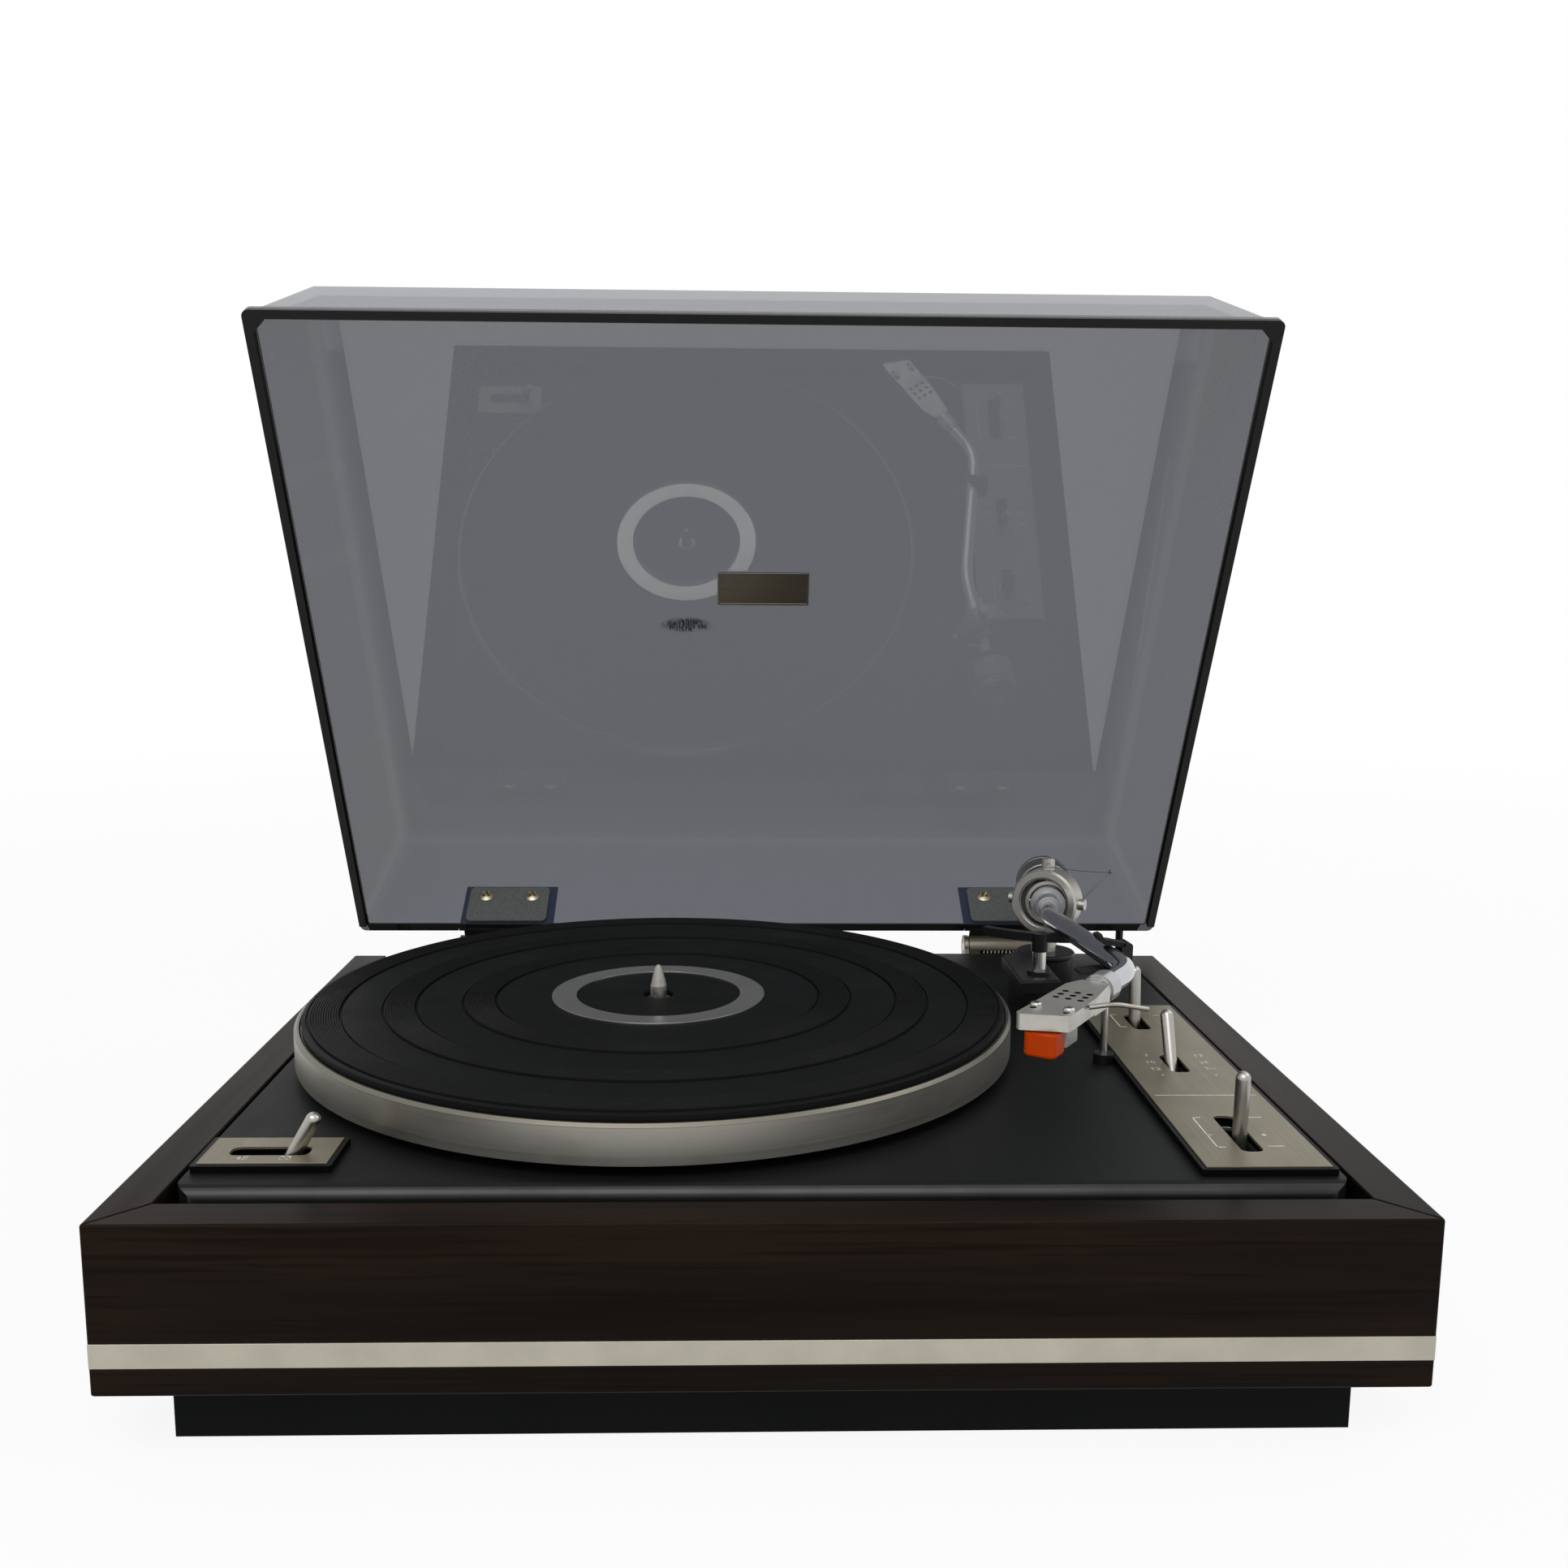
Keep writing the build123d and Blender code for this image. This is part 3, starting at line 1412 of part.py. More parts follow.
hinge_places = (-hinge_spread, hinge_spread)
wall_lean = math.atan2(lid_rear_draft, lid_rear_height)
wall_normal = lid_plane.y_dir * math.cos(wall_lean) + lid_plane.z_dir * math.sin(wall_lean)


def wall_plane(x, out):
    """The plane of the cover's rear wall at a hinge, moved out from its outer face."""
    origin = lid_point(x, 0, 0) + wall_normal * out
    return Plane(origin=origin, x_dir=(-1, 0, 0), z_dir=wall_normal)


screw_spots = [
    (side * hinge_screw_pitch / 2, hinge_screw_rise) for side in (-1, 1)
]

with BuildPart() as dust_cover:
    add(lid_form(0))
    with BuildSketch(lid_plane):
        with Locations((0, -lid_depth / 2)):
            RectangleRounded(lid_width + 2 * lid_lip, lid_depth + 2 * lid_lip, lid_round + lid_lip)
    extrude(amount=lid_lip_height)
    add(lid_form(lid_wall), mode=Mode.SUBTRACT)
    for x in hinge_places:
        with BuildSketch(wall_plane(x, 0)):
            Rectangle(hinge_width + 2 * seat_gap, 2 * lid_lip_height + 2 * overrun)
        extrude(amount=2 * lid_lip, mode=Mode.SUBTRACT)
        with BuildSketch(wall_plane(x, overrun)):
            with Locations(*screw_spots):
                Circle(hinge_screw_radius + fit_gap)
        extrude(amount=-lid_wall - 2 * overrun, mode=Mode.SUBTRACT)

strip_y = -lid_depth / 2
with BuildPart() as cover_edge_strip:
    with BuildSketch(lid_plane.offset(-strip_thickness)):
        with Locations((0, strip_y)):
            RectangleRounded(lid_width + 2 * lid_lip, lid_depth + 2 * lid_lip, lid_round + lid_lip)
            RectangleRounded(
                lid_width + 2 * lid_lip - 2 * strip_width,
                lid_depth + 2 * lid_lip - 2 * strip_width,
                lid_round / 2,
                mode=Mode.SUBTRACT,
            )
        with Locations((0, 0)):
            Rectangle(lid_width + 4 * lid_lip, 4 * lid_lip, mode=Mode.SUBTRACT)
    extrude(amount=strip_thickness)
    corner_x = lid_width / 2 + lid_lip - strip_width + seat_gap
    corner_y = -lid_depth - lid_lip + strip_width - seat_gap
    for side in (-1, 1):
        with BuildSketch(lid_plane.offset(-pad_thickness)):
            Polygon(
                (side * corner_x, corner_y),
                (side * (corner_x - pad_leg), corner_y),
                (side * corner_x, corner_y + pad_leg),
                align=None,
            )
        extrude(amount=pad_thickness)

panel_inner = lid_front_height - lid_wall + (lid_depth - badge_from_rear) * math.tan(panel_tilt)
badge_normal = lid_plane.y_dir * math.sin(panel_tilt) - lid_plane.z_dir * math.cos(panel_tilt)
badge_plane = Plane(
    origin=lid_point(badge_x - lid_offset, -badge_from_rear, panel_inner) + badge_normal * fit_gap,
    x_dir=(1, 0, 0),
    z_dir=badge_normal,
)
with BuildPart() as badge_plate:
    with BuildSketch(badge_plane):
        Rectangle(badge_width, badge_depth)
    extrude(amount=badge_thickness)
    with BuildSketch(badge_plane.offset(badge_thickness)):
        Rectangle(badge_width - 2 * badge_rim, badge_depth - 2 * badge_rim)
    extrude(amount=-badge_recess, mode=Mode.SUBTRACT)


# Hinges: a sleeve on the cover turns on a pin that the plinth's bracket holds
sleeve_length = hinge_width - 2 * hinge_cheek - 2 * hinge_side_gap


def across_hinge(x):
    """The plane across a hinge's pin at x, with y to the rear and z up."""
    return Plane(origin=(lid_offset + x, hinge_y, hinge_z), x_dir=(0, 1, 0), z_dir=(1, 0, 0))


def hinge_leaf(x):
    """The cover's half of a hinge: a leaf outside the wall, a web and a slotted sleeve."""
    axis_y = hinge_y - lid_rear_y
    axis_z = hinge_z - lid_rim_z
    with BuildPart() as form:
        with BuildSketch(wall_plane(x, seat_gap / 3)):
            with Locations((0, hinge_leaf_height / 2)):
                Rectangle(hinge_width, hinge_leaf_height)
        extrude(amount=hinge_sheet)
        with BuildSketch(lid_plane.offset(-hinge_sheet / 2)):
            with Locations((x, (axis_y + fit_gap) / 2)):
                Rectangle(sleeve_length, axis_y - fit_gap)
        extrude(amount=hinge_sheet)
        with BuildSketch(across_hinge(x - sleeve_length / 2)):
            Circle(hinge_sleeve_radius)
        extrude(amount=sleeve_length)
        with BuildSketch(across_hinge(x - sleeve_length / 2)):
            Circle(hinge_sleeve_bore)
        extrude(amount=sleeve_length, mode=Mode.SUBTRACT)
        window = Plane(
            origin=(lid_offset + x, hinge_y, hinge_z - hinge_window_height / 2),
            x_dir=(1, 0, 0),
            z_dir=(0, -1, 0),
        )
        with BuildSketch(window):
            Rectangle(hinge_window_length, hinge_window_height)
        extrude(amount=2 * hinge_sleeve_radius, mode=Mode.SUBTRACT)
        with BuildSketch(wall_plane(x, hinge_sheet + overrun)):
            with Locations(*screw_spots):
                Circle(hinge_screw_radius + fit_gap)
        extrude(amount=-hinge_sheet - 2 * overrun, mode=Mode.SUBTRACT)
    return form.part


def hinge_bracket(x):
    """The plinth's half of a hinge: a plate on the rear with two cheeks for the pin."""
    plate_top = deck_bottom + deck_drop / 2
    with BuildPart() as form:
        with BuildSketch(Plane(origin=(lid_offset + x, rear_y, 0), x_dir=(1, 0, 0), z_dir=(0, -1, 0))):
            with Locations((0, plate_top - hinge_plate_height / 2)):
                Rectangle(hinge_width, hinge_plate_height)
        extrude(amount=-hinge_sheet)
        for start in (-hinge_width / 2, hinge_width / 2 - hinge_cheek):
            with BuildSketch(across_hinge(x + start)):
                Circle(hinge_cheek_radius)
                Polygon(
                    (hinge_cheek_radius, 0),
                    (-hinge_cheek_radius, 0),
                    (-hinge_setback, plate_top - hinge_z),
                    (-hinge_setback, plate_top - hinge_plate_height - hinge_z),
                    align=None,
                )
                Circle(hinge_pin_radius + fit_gap / 5, mode=Mode.SUBTRACT)
            extrude(amount=hinge_cheek)
    return form.part


with BuildPart() as hinge_leaves:
    for x in hinge_places:
        add(hinge_leaf(x))

with BuildPart() as hinge_brackets:
    for x in hinge_places:
        add(hinge_bracket(x))

with BuildPart() as hinge_pins:
    for x in hinge_places:
        with BuildSketch(across_hinge(x - hinge_width / 2)):
            Circle(hinge_pin_radius)
        extrude(amount=hinge_width)


def spring_point(x, turns):
    """A point on a spring's wire and the wire's direction there, after a number of turns."""
    angle = 2 * math.pi * turns
    place = Vector(
        lid_offset + x + spring_pitch * (turns - spring_curls / 2),
        hinge_y + spring_radius * math.cos(angle),
        hinge_z + spring_radius * math.sin(angle),
    )
    run = Vector(
        spring_pitch,
        -2 * math.pi * spring_radius * math.sin(angle),
        2 * math.pi * spring_radius * math.cos(angle),
    )
    return place, run.normalized()


def biarc_joint(start, end):
    """The point where two arcs meet that leave and reach two points in given directions."""
    span = end[0] - start[0]
    both = start[1] + end[1]
    reach = span.dot(both)
    square = 4 - both.dot(both)
    arm = (math.sqrt(reach * reach + square * span.dot(span)) - reach) / square
    return (start[0] + start[1] * arm + end[0] - end[1] * arm) * 0.5


def spring(x):
    """A torsion spring: one tube round the hinge pin, on two arcs for each quarter turn."""
    steps = [spring_point(x, quarter / 4) for quarter in range(4 * spring_curls + 1)]
    with BuildPart() as form:
        with BuildLine():
            for start, end in zip(steps, steps[1:]):
                joint = biarc_joint(start, end)
                first = TangentArc(start[0], joint, tangent=start[1])
                TangentArc(joint, end[0], tangent=first % 1)
        with BuildSketch(Plane(origin=steps[0][0], z_dir=steps[0][1])):
            Circle(spring_wire)
        sweep()
    return form.part


def spring_gap():
    """The least gap between a spring's neighbouring turns, measured on points."""
    count = spring_samples * spring_curls
    points = [spring_point(0, step / spring_samples)[0] for step in range(count + 1)]
    near = min(
        (points[later] - points[step]).length
        for step in range(count)
        for later in range(step + spring_samples // 2, count + 1)
    )
    return near - 2 * spring_wire


print(f"least gap in a spring {spring_gap():.2f} mm")
with BuildPart() as hinge_springs:
    for x in hinge_places:
        add(spring(x))

with BuildPart() as clamp_plates:
    for x in hinge_places:
        with BuildSketch(wall_plane(x, -lid_wall - clamp_gap)):
            with Locations((0, hinge_leaf_height / 2)):
                RectangleRounded(
                    hinge_width - 2 * clamp_inset,
                    hinge_leaf_height - 2 * clamp_inset,
                    clamp_corner,
                )
            with Locations(*screw_spots):
                Circle(hinge_screw_radius + fit_gap, mode=Mode.SUBTRACT)
        extrude(amount=-clamp_thickness)

with BuildPart() as hinge_screws:
    for x in hinge_places:
        seat = wall_plane(x, -lid_wall - clamp_gap - clamp_thickness)
        for across_leaf, rise in screw_spots:
            origin = seat.origin + seat.x_dir * across_leaf + seat.y_dir * rise
            add(screw(
                Plane(origin=origin, x_dir=seat.x_dir, z_dir=-seat.z_dir),
                hinge_screw_head,
                hinge_screw_head_height,
                hinge_screw_radius,
                lid_wall + clamp_thickness + hinge_sheet + hinge_screw_head_height,
            ))

# Post behind the plinth that the open cover comes down on
with BuildPart() as lid_stop_post:
    stop_y = rear_y + stop_setback
    with BuildSketch(Plane.XY.offset(deck_bottom - stop_block)):
        with Locations((stop_x, rear_y + (stop_setback + stop_radius) / 2)):
            Rectangle(2 * stop_radius, stop_setback + stop_radius)
    extrude(amount=stop_block)
    add(bar(
        Vector(stop_x, stop_y, deck_bottom - stop_block),
        Vector(stop_x, stop_y, plinth_top + stop_top),
        stop_radius,
    ))

# Rear fittings: two cord bushes and an earth terminal
with BuildPart() as cord_bushes:
    for x in (mains_x, signal_x):
        with BuildSketch(Plane(origin=(x, rear_y - rear_panel_thickness, fitting_z), z_dir=(0, 1, 0))):
            Circle(gland_radius)
        extrude(amount=rear_panel_thickness)
        with BuildSketch(Plane(origin=(x, rear_y, fitting_z), z_dir=(0, 1, 0))):
            Circle(gland_flange_radius)
        extrude(amount=gland_flange)
        with BuildSketch(Plane(origin=(x, rear_y + gland_flange, fitting_z), z_dir=(0, 1, 0))):
            Circle(gland_bore)
        extrude(amount=-rear_panel_thickness - gland_flange, mode=Mode.SUBTRACT)

with BuildPart() as earth_terminal:
    with BuildSketch(Plane(origin=(earth_x, rear_y - rear_panel_thickness, fitting_z), z_dir=(0, 1, 0))):
        Circle(earth_radius)
    extrude(amount=rear_panel_thickness + overrun)
    with BuildSketch(Plane(origin=(earth_x, rear_y, fitting_z), z_dir=(0, 1, 0))):
        Circle(earth_nut_radius)
    extrude(amount=earth_nut_height)

pieces = {
    "front_board": front_board,
    "front_stripe": front_stripe,
    "left_board": left_board,
    "right_board": right_board,
    "rear_panel": rear_panel,
    "base_skirt": base_skirt,
    "bottom_panel": bottom_panel,
    "base_screws": base_screws,
    "corner_blocks": corner_blocks,
    "deck_plate": deck_plate,
    "plate_surrounds": plate_surrounds,
    "control_faces": control_faces,
    "speed_lever": speed_lever,
    "start_lever": start_lever,
    "size_lever": size_lever,
    "cue_lever": cue_lever,
    "lever_brackets": lever_brackets,
    "lever_pins": lever_pins,
    "platter": platter,
    "rubber_mat": rubber_mat,
    "label_ring": label_ring,
    "spindle": spindle,
    "bearing_housing": bearing_housing,
    "thrust_ball": thrust_ball,
    "motor": motor,
    "motor_grommets": motor_grommets,
    "motor_pulley": motor_pulley,
    "drive_belt": drive_belt,
    "arm_base": arm_base,
    "arm_pillar": arm_pillar,
    "gimbal_ring": gimbal_ring,
    "gimbal_inner": gimbal_inner,
    "pivot_head": pivot_head,
    "side_thrust_wire": side_thrust_wire,
    "bearing_sleeve": bearing_sleeve,
    "arm_tube": arm_tube,
    "counterweight": counterweight,
    "force_dial": force_dial,
    "locking_collar": locking_collar,
    "headshell": headshell,
    "finger_lift": finger_lift,
    "cartridge_body": cartridge_body,
    "stylus_unit": stylus_unit,
    "cartridge_screws": cartridge_screws,
    "lifter_tube": lifter_tube,
    "lifter_bar": lifter_bar,
    "arm_rest": arm_rest,
    "rest_clip": rest_clip,
    "dust_cover": dust_cover,
    "cover_edge_strip": cover_edge_strip,
    "badge_plate": badge_plate,
    "hinge_leaves": hinge_leaves,
    "hinge_brackets": hinge_brackets,
    "hinge_pins": hinge_pins,
    "hinge_springs": hinge_springs,
    "clamp_plates": clamp_plates,
    "hinge_screws": hinge_screws,
    "lid_stop_post": lid_stop_post,
    "cord_bushes": cord_bushes,
    "earth_terminal": earth_terminal,
}
for label, piece in pieces.items():
    piece.part.label = label
    export_step(piece.part, f"parts/{label}.step")
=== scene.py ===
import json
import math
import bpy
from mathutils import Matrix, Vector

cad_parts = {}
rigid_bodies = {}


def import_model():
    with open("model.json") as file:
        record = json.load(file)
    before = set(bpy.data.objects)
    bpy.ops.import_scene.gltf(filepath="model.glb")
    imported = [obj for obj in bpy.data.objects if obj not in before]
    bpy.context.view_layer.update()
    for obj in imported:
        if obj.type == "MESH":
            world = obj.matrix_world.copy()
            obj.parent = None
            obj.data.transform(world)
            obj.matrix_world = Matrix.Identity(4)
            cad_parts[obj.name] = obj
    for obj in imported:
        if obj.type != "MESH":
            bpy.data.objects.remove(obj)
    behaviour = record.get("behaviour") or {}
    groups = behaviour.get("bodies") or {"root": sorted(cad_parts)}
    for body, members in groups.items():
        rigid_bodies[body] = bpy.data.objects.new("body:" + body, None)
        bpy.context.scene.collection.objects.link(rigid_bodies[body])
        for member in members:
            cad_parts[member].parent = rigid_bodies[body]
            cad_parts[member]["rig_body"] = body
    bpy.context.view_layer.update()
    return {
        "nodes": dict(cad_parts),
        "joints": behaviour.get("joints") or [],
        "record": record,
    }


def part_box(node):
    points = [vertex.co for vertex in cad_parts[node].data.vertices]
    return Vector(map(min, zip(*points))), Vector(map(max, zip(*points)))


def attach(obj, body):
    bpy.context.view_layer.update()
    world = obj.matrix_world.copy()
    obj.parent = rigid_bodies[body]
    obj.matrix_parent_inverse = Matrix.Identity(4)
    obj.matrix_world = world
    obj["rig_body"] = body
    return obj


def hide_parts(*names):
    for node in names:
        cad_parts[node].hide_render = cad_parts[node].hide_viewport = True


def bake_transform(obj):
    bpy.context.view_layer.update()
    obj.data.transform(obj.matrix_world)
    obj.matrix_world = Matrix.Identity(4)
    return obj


bl_info = {
    "name": "Turntable",
    "version": (1, 0, 0),
    "blender": (4, 5, 0),
    "location": "3D View > Sidebar > Turntable",
    "description": "Finishes a belt-drive turntable: wood, rubber, turned metal and smoked acrylic",
    "category": "Add Mesh",
}

from collections import namedtuple

import bmesh
import bpy
from mathutils import Matrix, Vector

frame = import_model()
NODES = frame["nodes"]
MM = 0.001
UP = Vector((0, 0, 1))

# Places taken from the frame
JOINTS = {joint["name"]: joint for joint in frame["joints"]}
PLATTER_AT = Vector(JOINTS["platter_spin"]["pos_m"])
PIVOT_AT = Vector(JOINTS["arm_swing"]["pos_m"])
ARM_FORWARD = Vector(JOINTS["weight_slide"]["axis"])
SHELL_FORWARD = Vector(JOINTS["collar_turn"]["axis"])
SHELL_RIGHT = SHELL_FORWARD.cross(UP)
COLLAR_AT = Vector(JOINTS["collar_turn"]["pos_m"])
HINGE_AT = Vector(JOINTS["lid_hinge"]["pos_m"])
LID_OPEN = math.radians(JOINTS["lid_hinge"]["range_deg"][1])
LID_UP = Vector((0, math.sin(LID_OPEN), math.cos(LID_OPEN)))
LID_BACK = Vector((0, math.cos(LID_OPEN), -math.sin(LID_OPEN)))

# The cover's walls lean in by this much over this height, in millimetres
WALL_DRAFT, WALL_HEIGHT = 5.6, 76.5
WALL_LEAN = math.atan2(WALL_DRAFT, WALL_HEIGHT)
WALL_RISE = LID_UP * math.cos(WALL_LEAN) - LID_BACK * math.sin(WALL_LEAN)
WALL_INWARD = LID_UP * -math.sin(WALL_LEAN) - LID_BACK * math.cos(WALL_LEAN)
LIP = 1.5 * MM

# Points of a CAD mesh nearer than this are one point, and faces nearer than this angle are one flat
SAME_PLACE = 2e-6
SAME_FLAT = math.radians(0.6)
SHARP = 30

BACKGROUND_RAYS = ("Is Glossy Ray", "Is Transmission Ray")
Finish = namedtuple("Finish", "color roughness metallic")


def rim_of_lid():
    """The middle of the cover's rear rim, found from the cover's own corners."""
    points = [vertex.co for vertex in NODES["dust_cover"].data.vertices]
    lowest = min(point.dot(LID_UP) for point in points)
    rear = max(point.dot(LID_BACK) for point in points)
    middle_x = (min(point.x for point in points) + max(point.x for point in points)) / 2
    return Vector((middle_x, 0, 0)) + LID_UP * lowest + LID_BACK * (rear - LIP)


RIM_AT = rim_of_lid()


def middle(node):
    """The middle of a CAD node's box."""
    low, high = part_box(node)
    return (low + high) / 2


# Shader nodes
class Tap:
    """One output of a node, on which plain arithmetic adds Math nodes."""

    def __init__(self, nodes, socket):
        self.nodes = nodes
        self.socket = socket

    def __add__(self, other):
        return self.nodes.math("ADD", self, other)

    def __sub__(self, other):
        return self.nodes.math("SUBTRACT", self, other)

    def __rsub__(self, other):
        return self.nodes.math("SUBTRACT", other, self)

    def __mul__(self, other):
        return self.nodes.math("MULTIPLY", self, other)

    def __gt__(self, other):
        return self.nodes.math("GREATER_THAN", self, other)

    def __lt__(self, other):
        return self.nodes.math("LESS_THAN", self, other)

    def __abs__(self):
        return self.nodes.math("ABSOLUTE", self, 0)

    __radd__ = __add__
    __rmul__ = __mul__


class Nodes:
    """The nodes of one material or world."""

    def __init__(self, tree):
        self.tree = tree

    def join(self, value, socket):
        """Gives a socket a plain value, or a link from a node's output."""
        if isinstance(value, Tap):
            self.tree.links.new(value.socket, socket)
        else:
            socket.default_value = value

    def node(self, kind, settings=None, inputs=None, output=0):
        """Adds a node: its settings first, then the values or links of its sockets."""
        made = self.tree.nodes.new(kind)
        for name, value in (settings or {}).items():
            if name == "stops":
                ramp = made.color_ramp
                while len(ramp.elements) < len(value):
                    ramp.elements.new(0.5)
                for element, (position, color) in zip(ramp.elements, value):
                    element.position = position
                    element.color = shade(*color)
            else:
                setattr(made, name, value)
        for name, value in (inputs or {}).items():
            self.join(value, made.inputs[name])
        return Tap(self, made.outputs[output])

    def math(self, operation, first, second):
        """Adds a Math node on two numbers."""
        return self.node("ShaderNodeMath", {"operation": operation}, {0: first, 1: second})

    def vector(self, operation, first, second, output=0):
        """Adds a Vector Math node on two vectors."""
        inputs = {0: first, 1: second}
        return self.node("ShaderNodeVectorMath", {"operation": operation}, inputs, output)

    def spread(self, factor, low, high, to_low=0.0, to_high=1.0):
        """A number carried from one range to another, and held inside it."""
        inputs = {0: factor, 1: low, 2: high, 3: to_low, 4: to_high}
        return self.node("ShaderNodeMapRange", {"clamp": True}, inputs)

    def background(self):
        """1 on the rays that show the background: the camera's, off gloss and through glass."""
        shown = self.node("ShaderNodeLightPath", output="Is Camera Ray")
        for rays in BACKGROUND_RAYS:
            shown = self.math("MAXIMUM", shown, self.node("ShaderNodeLightPath", output=rays))
        return shown


class Paint(Nodes):
    """One material: the principled shader and the nodes that feed it."""

    def __init__(self, name, color, roughness, metallic=0.0, **sockets):
        self.material = bpy.data.materials.new(name)
        self.material.use_nodes = True
        super().__init__(self.material.node_tree)
        self.shader = self.tree.nodes["Principled BSDF"]
        self.feed("Base Color", shade(*color))
        self.feed("Roughness", roughness)
        self.feed("Metallic", metallic)
        for socket, value in sockets.items():
            self.feed(socket.replace("_", " "), value)

    def feed(self, socket, value):
        """Gives one of the shader's sockets a value, or a link from a node's output."""
        self.join(value, self.shader.inputs[socket])

    def place(self, centre=(0, 0, 0), scale=(1, 1, 1)):
        """The point on the piece, in the frame's metres, moved to a centre and stretched."""
        point = self.node("ShaderNodeTexCoord", output="Object")
        return self.vector("MULTIPLY", self.vector("SUBTRACT", point, tuple(centre)), tuple(scale))

    def axis(self, point, name):
        """One coordinate of a point."""
        return self.node("ShaderNodeSeparateXYZ", None, {0: point}, name)

    def along(self, point, direction):
        """How far a point lies along a direction."""
        return self.vector("DOT_PRODUCT", point, tuple(direction), "Value")

    def reach(self, point):
        """The distance of a point from the centre."""
        return self.node("ShaderNodeVectorMath", {"operation": "LENGTH"}, {0: point}, "Value")

    def noise(self, point, scale, detail=2.0, roughness=0.5):
        """Soft random spots, so many to the metre."""
        inputs = {"Vector": point, "Scale": scale, "Detail": detail, "Roughness": roughness}
        return self.node("ShaderNodeTexNoise", None, inputs)

    def grain(self, stretch, detail, roughness=0.5):
        """Random streaks, so many to the metre along each axis."""
        return self.noise(self.place(scale=stretch), 1.0, detail, roughness)

    def ramp(self, factor, *stops):
        """A colour for each number, between stops of a position and a colour."""
        return self.node("ShaderNodeValToRGB", {"stops": stops}, {0: factor})

    def mix(self, mask, first, second):
        """The first colour where a mask is 0, and the second where it is 1."""
        inputs = {0: mask, 6: first, 7: second}
        return self.node("ShaderNodeMix", {"data_type": "RGBA"}, inputs, output=2)

    def bump(self, height, strength, depth):
        """Feeds the shader's normal with a relief of a given depth in metres."""
        inputs = {"Strength": strength, "Distance": depth, "Height": height}
        self.feed("Normal", self.node("ShaderNodeBump", None, inputs))

    def vary(self, pattern, least, most, low=0.3, high=0.7):
        """Lets the roughness wander between two values, after a noise that lies in a range."""
        self.feed("Roughness", self.spread(pattern, low, high, least, most))


def shade(*values):
    """A linear colour with full alpha."""
    return tuple(values)[:3] + (1.0,)


def toned(color, share):
    """A colour made darker or lighter by a share."""
    return shade(*[value * share for value in color])


# Finishes
def rosewood(name, along):
    """Dark rosewood veneer, its grain along X or Y, with fine pores and a satin lacquer."""
    tint = shade(1.0, 0.88, 0.78)
    paint = Paint(name, (0.02, 0.013, 0.01), 0.36, Specular_IOR_Level=0.05, Specular_Tint=tint)
    figure_long, figure_cross = 1.6, 26.0
    pore_long, pore_cross = 9.0, 420.0
    if along == "x":
        figure_scale = (figure_long, figure_cross, figure_cross)
        pore_scale = (pore_long, pore_cross, pore_cross)
    else:
        figure_scale = (figure_cross, figure_long, figure_cross)
        pore_scale = (pore_cross, pore_long, pore_cross)
    figure = paint.grain(figure_scale, detail=5.0, roughness=0.62)
    pores = paint.grain(pore_scale, detail=3.0, roughness=0.6)
    bands = paint.ramp(
        figure,
        (0.28, (0.003, 0.0022, 0.0017)),
        (0.45, (0.0078, 0.0057, 0.0042)),
        (0.56, (0.0138, 0.008, 0.0052)),
        (0.7, (0.0045, 0.0032, 0.0026)),
    )
    dark = paint.spread(pores, 0.5, 0.68) * 0.7
    paint.feed("Base Color", paint.mix(dark, bands, shade(0.0022, 0.0017, 0.0014)))
    paint.vary(figure, 0.3, 0.42)
    paint.bump(pores, strength=0.25, depth=0.12 * MM)
    return paint.material


def particle_board(name):
    """Raw pressed board, as under and behind such a plinth."""
    paint = Paint(name, (0.2, 0.14, 0.08), 0.85)
    chips = paint.noise(paint.place(), scale=260.0, detail=4.0, roughness=0.7)
    paint.feed("Base Color", paint.ramp(
        chips, (0.35, (0.1, 0.065, 0.035)), (0.5, (0.2, 0.135, 0.075)), (0.65, (0.3, 0.22, 0.13))
    ))
    paint.bump(chips, strength=0.4, depth=0.3 * MM)
    return paint.material


def painted(name, color, roughness, grain, depth, strength=0.3, metallic=0.0, gloss=0.2):
    """A painted or moulded surface with a fine grain, whose depth is in metres."""
    paint = Paint(name, color, roughness, metallic, Specular_IOR_Level=gloss)
    speck = paint.noise(paint.place(), scale=grain, detail=3.0, roughness=0.6)
    wide = paint.noise(paint.place(), scale=14.0, detail=2.0)
    paint.vary(wide, roughness * 0.85, roughness * 1.2)
    tones = (0.35, toned(color, 0.8)), (0.65, toned(color, 1.2))
    paint.feed("Base Color", paint.ramp(speck, *tones))
    paint.bump(speck, strength, depth)
    return paint.material


def brushed(name, color, roughness, stretch, metallic=1.0):
    """Metal brushed along one direction: the noise is stretched that way."""
    paint = Paint(name, color, roughness, metallic)
    lines = paint.grain(stretch, detail=3.0, roughness=0.6)
    wear = paint.noise(paint.place(), scale=45.0, detail=3.0, roughness=0.6)
    paint.vary(lines, roughness * 0.8, roughness * 1.25)
    worn = paint.spread(wear, 0.35, 0.7)
    paint.feed("Base Color", paint.mix(worn, toned(color, 0.86), shade(*color)))
    paint.bump(lines, strength=0.35, depth=0.02 * MM)
    return paint.material


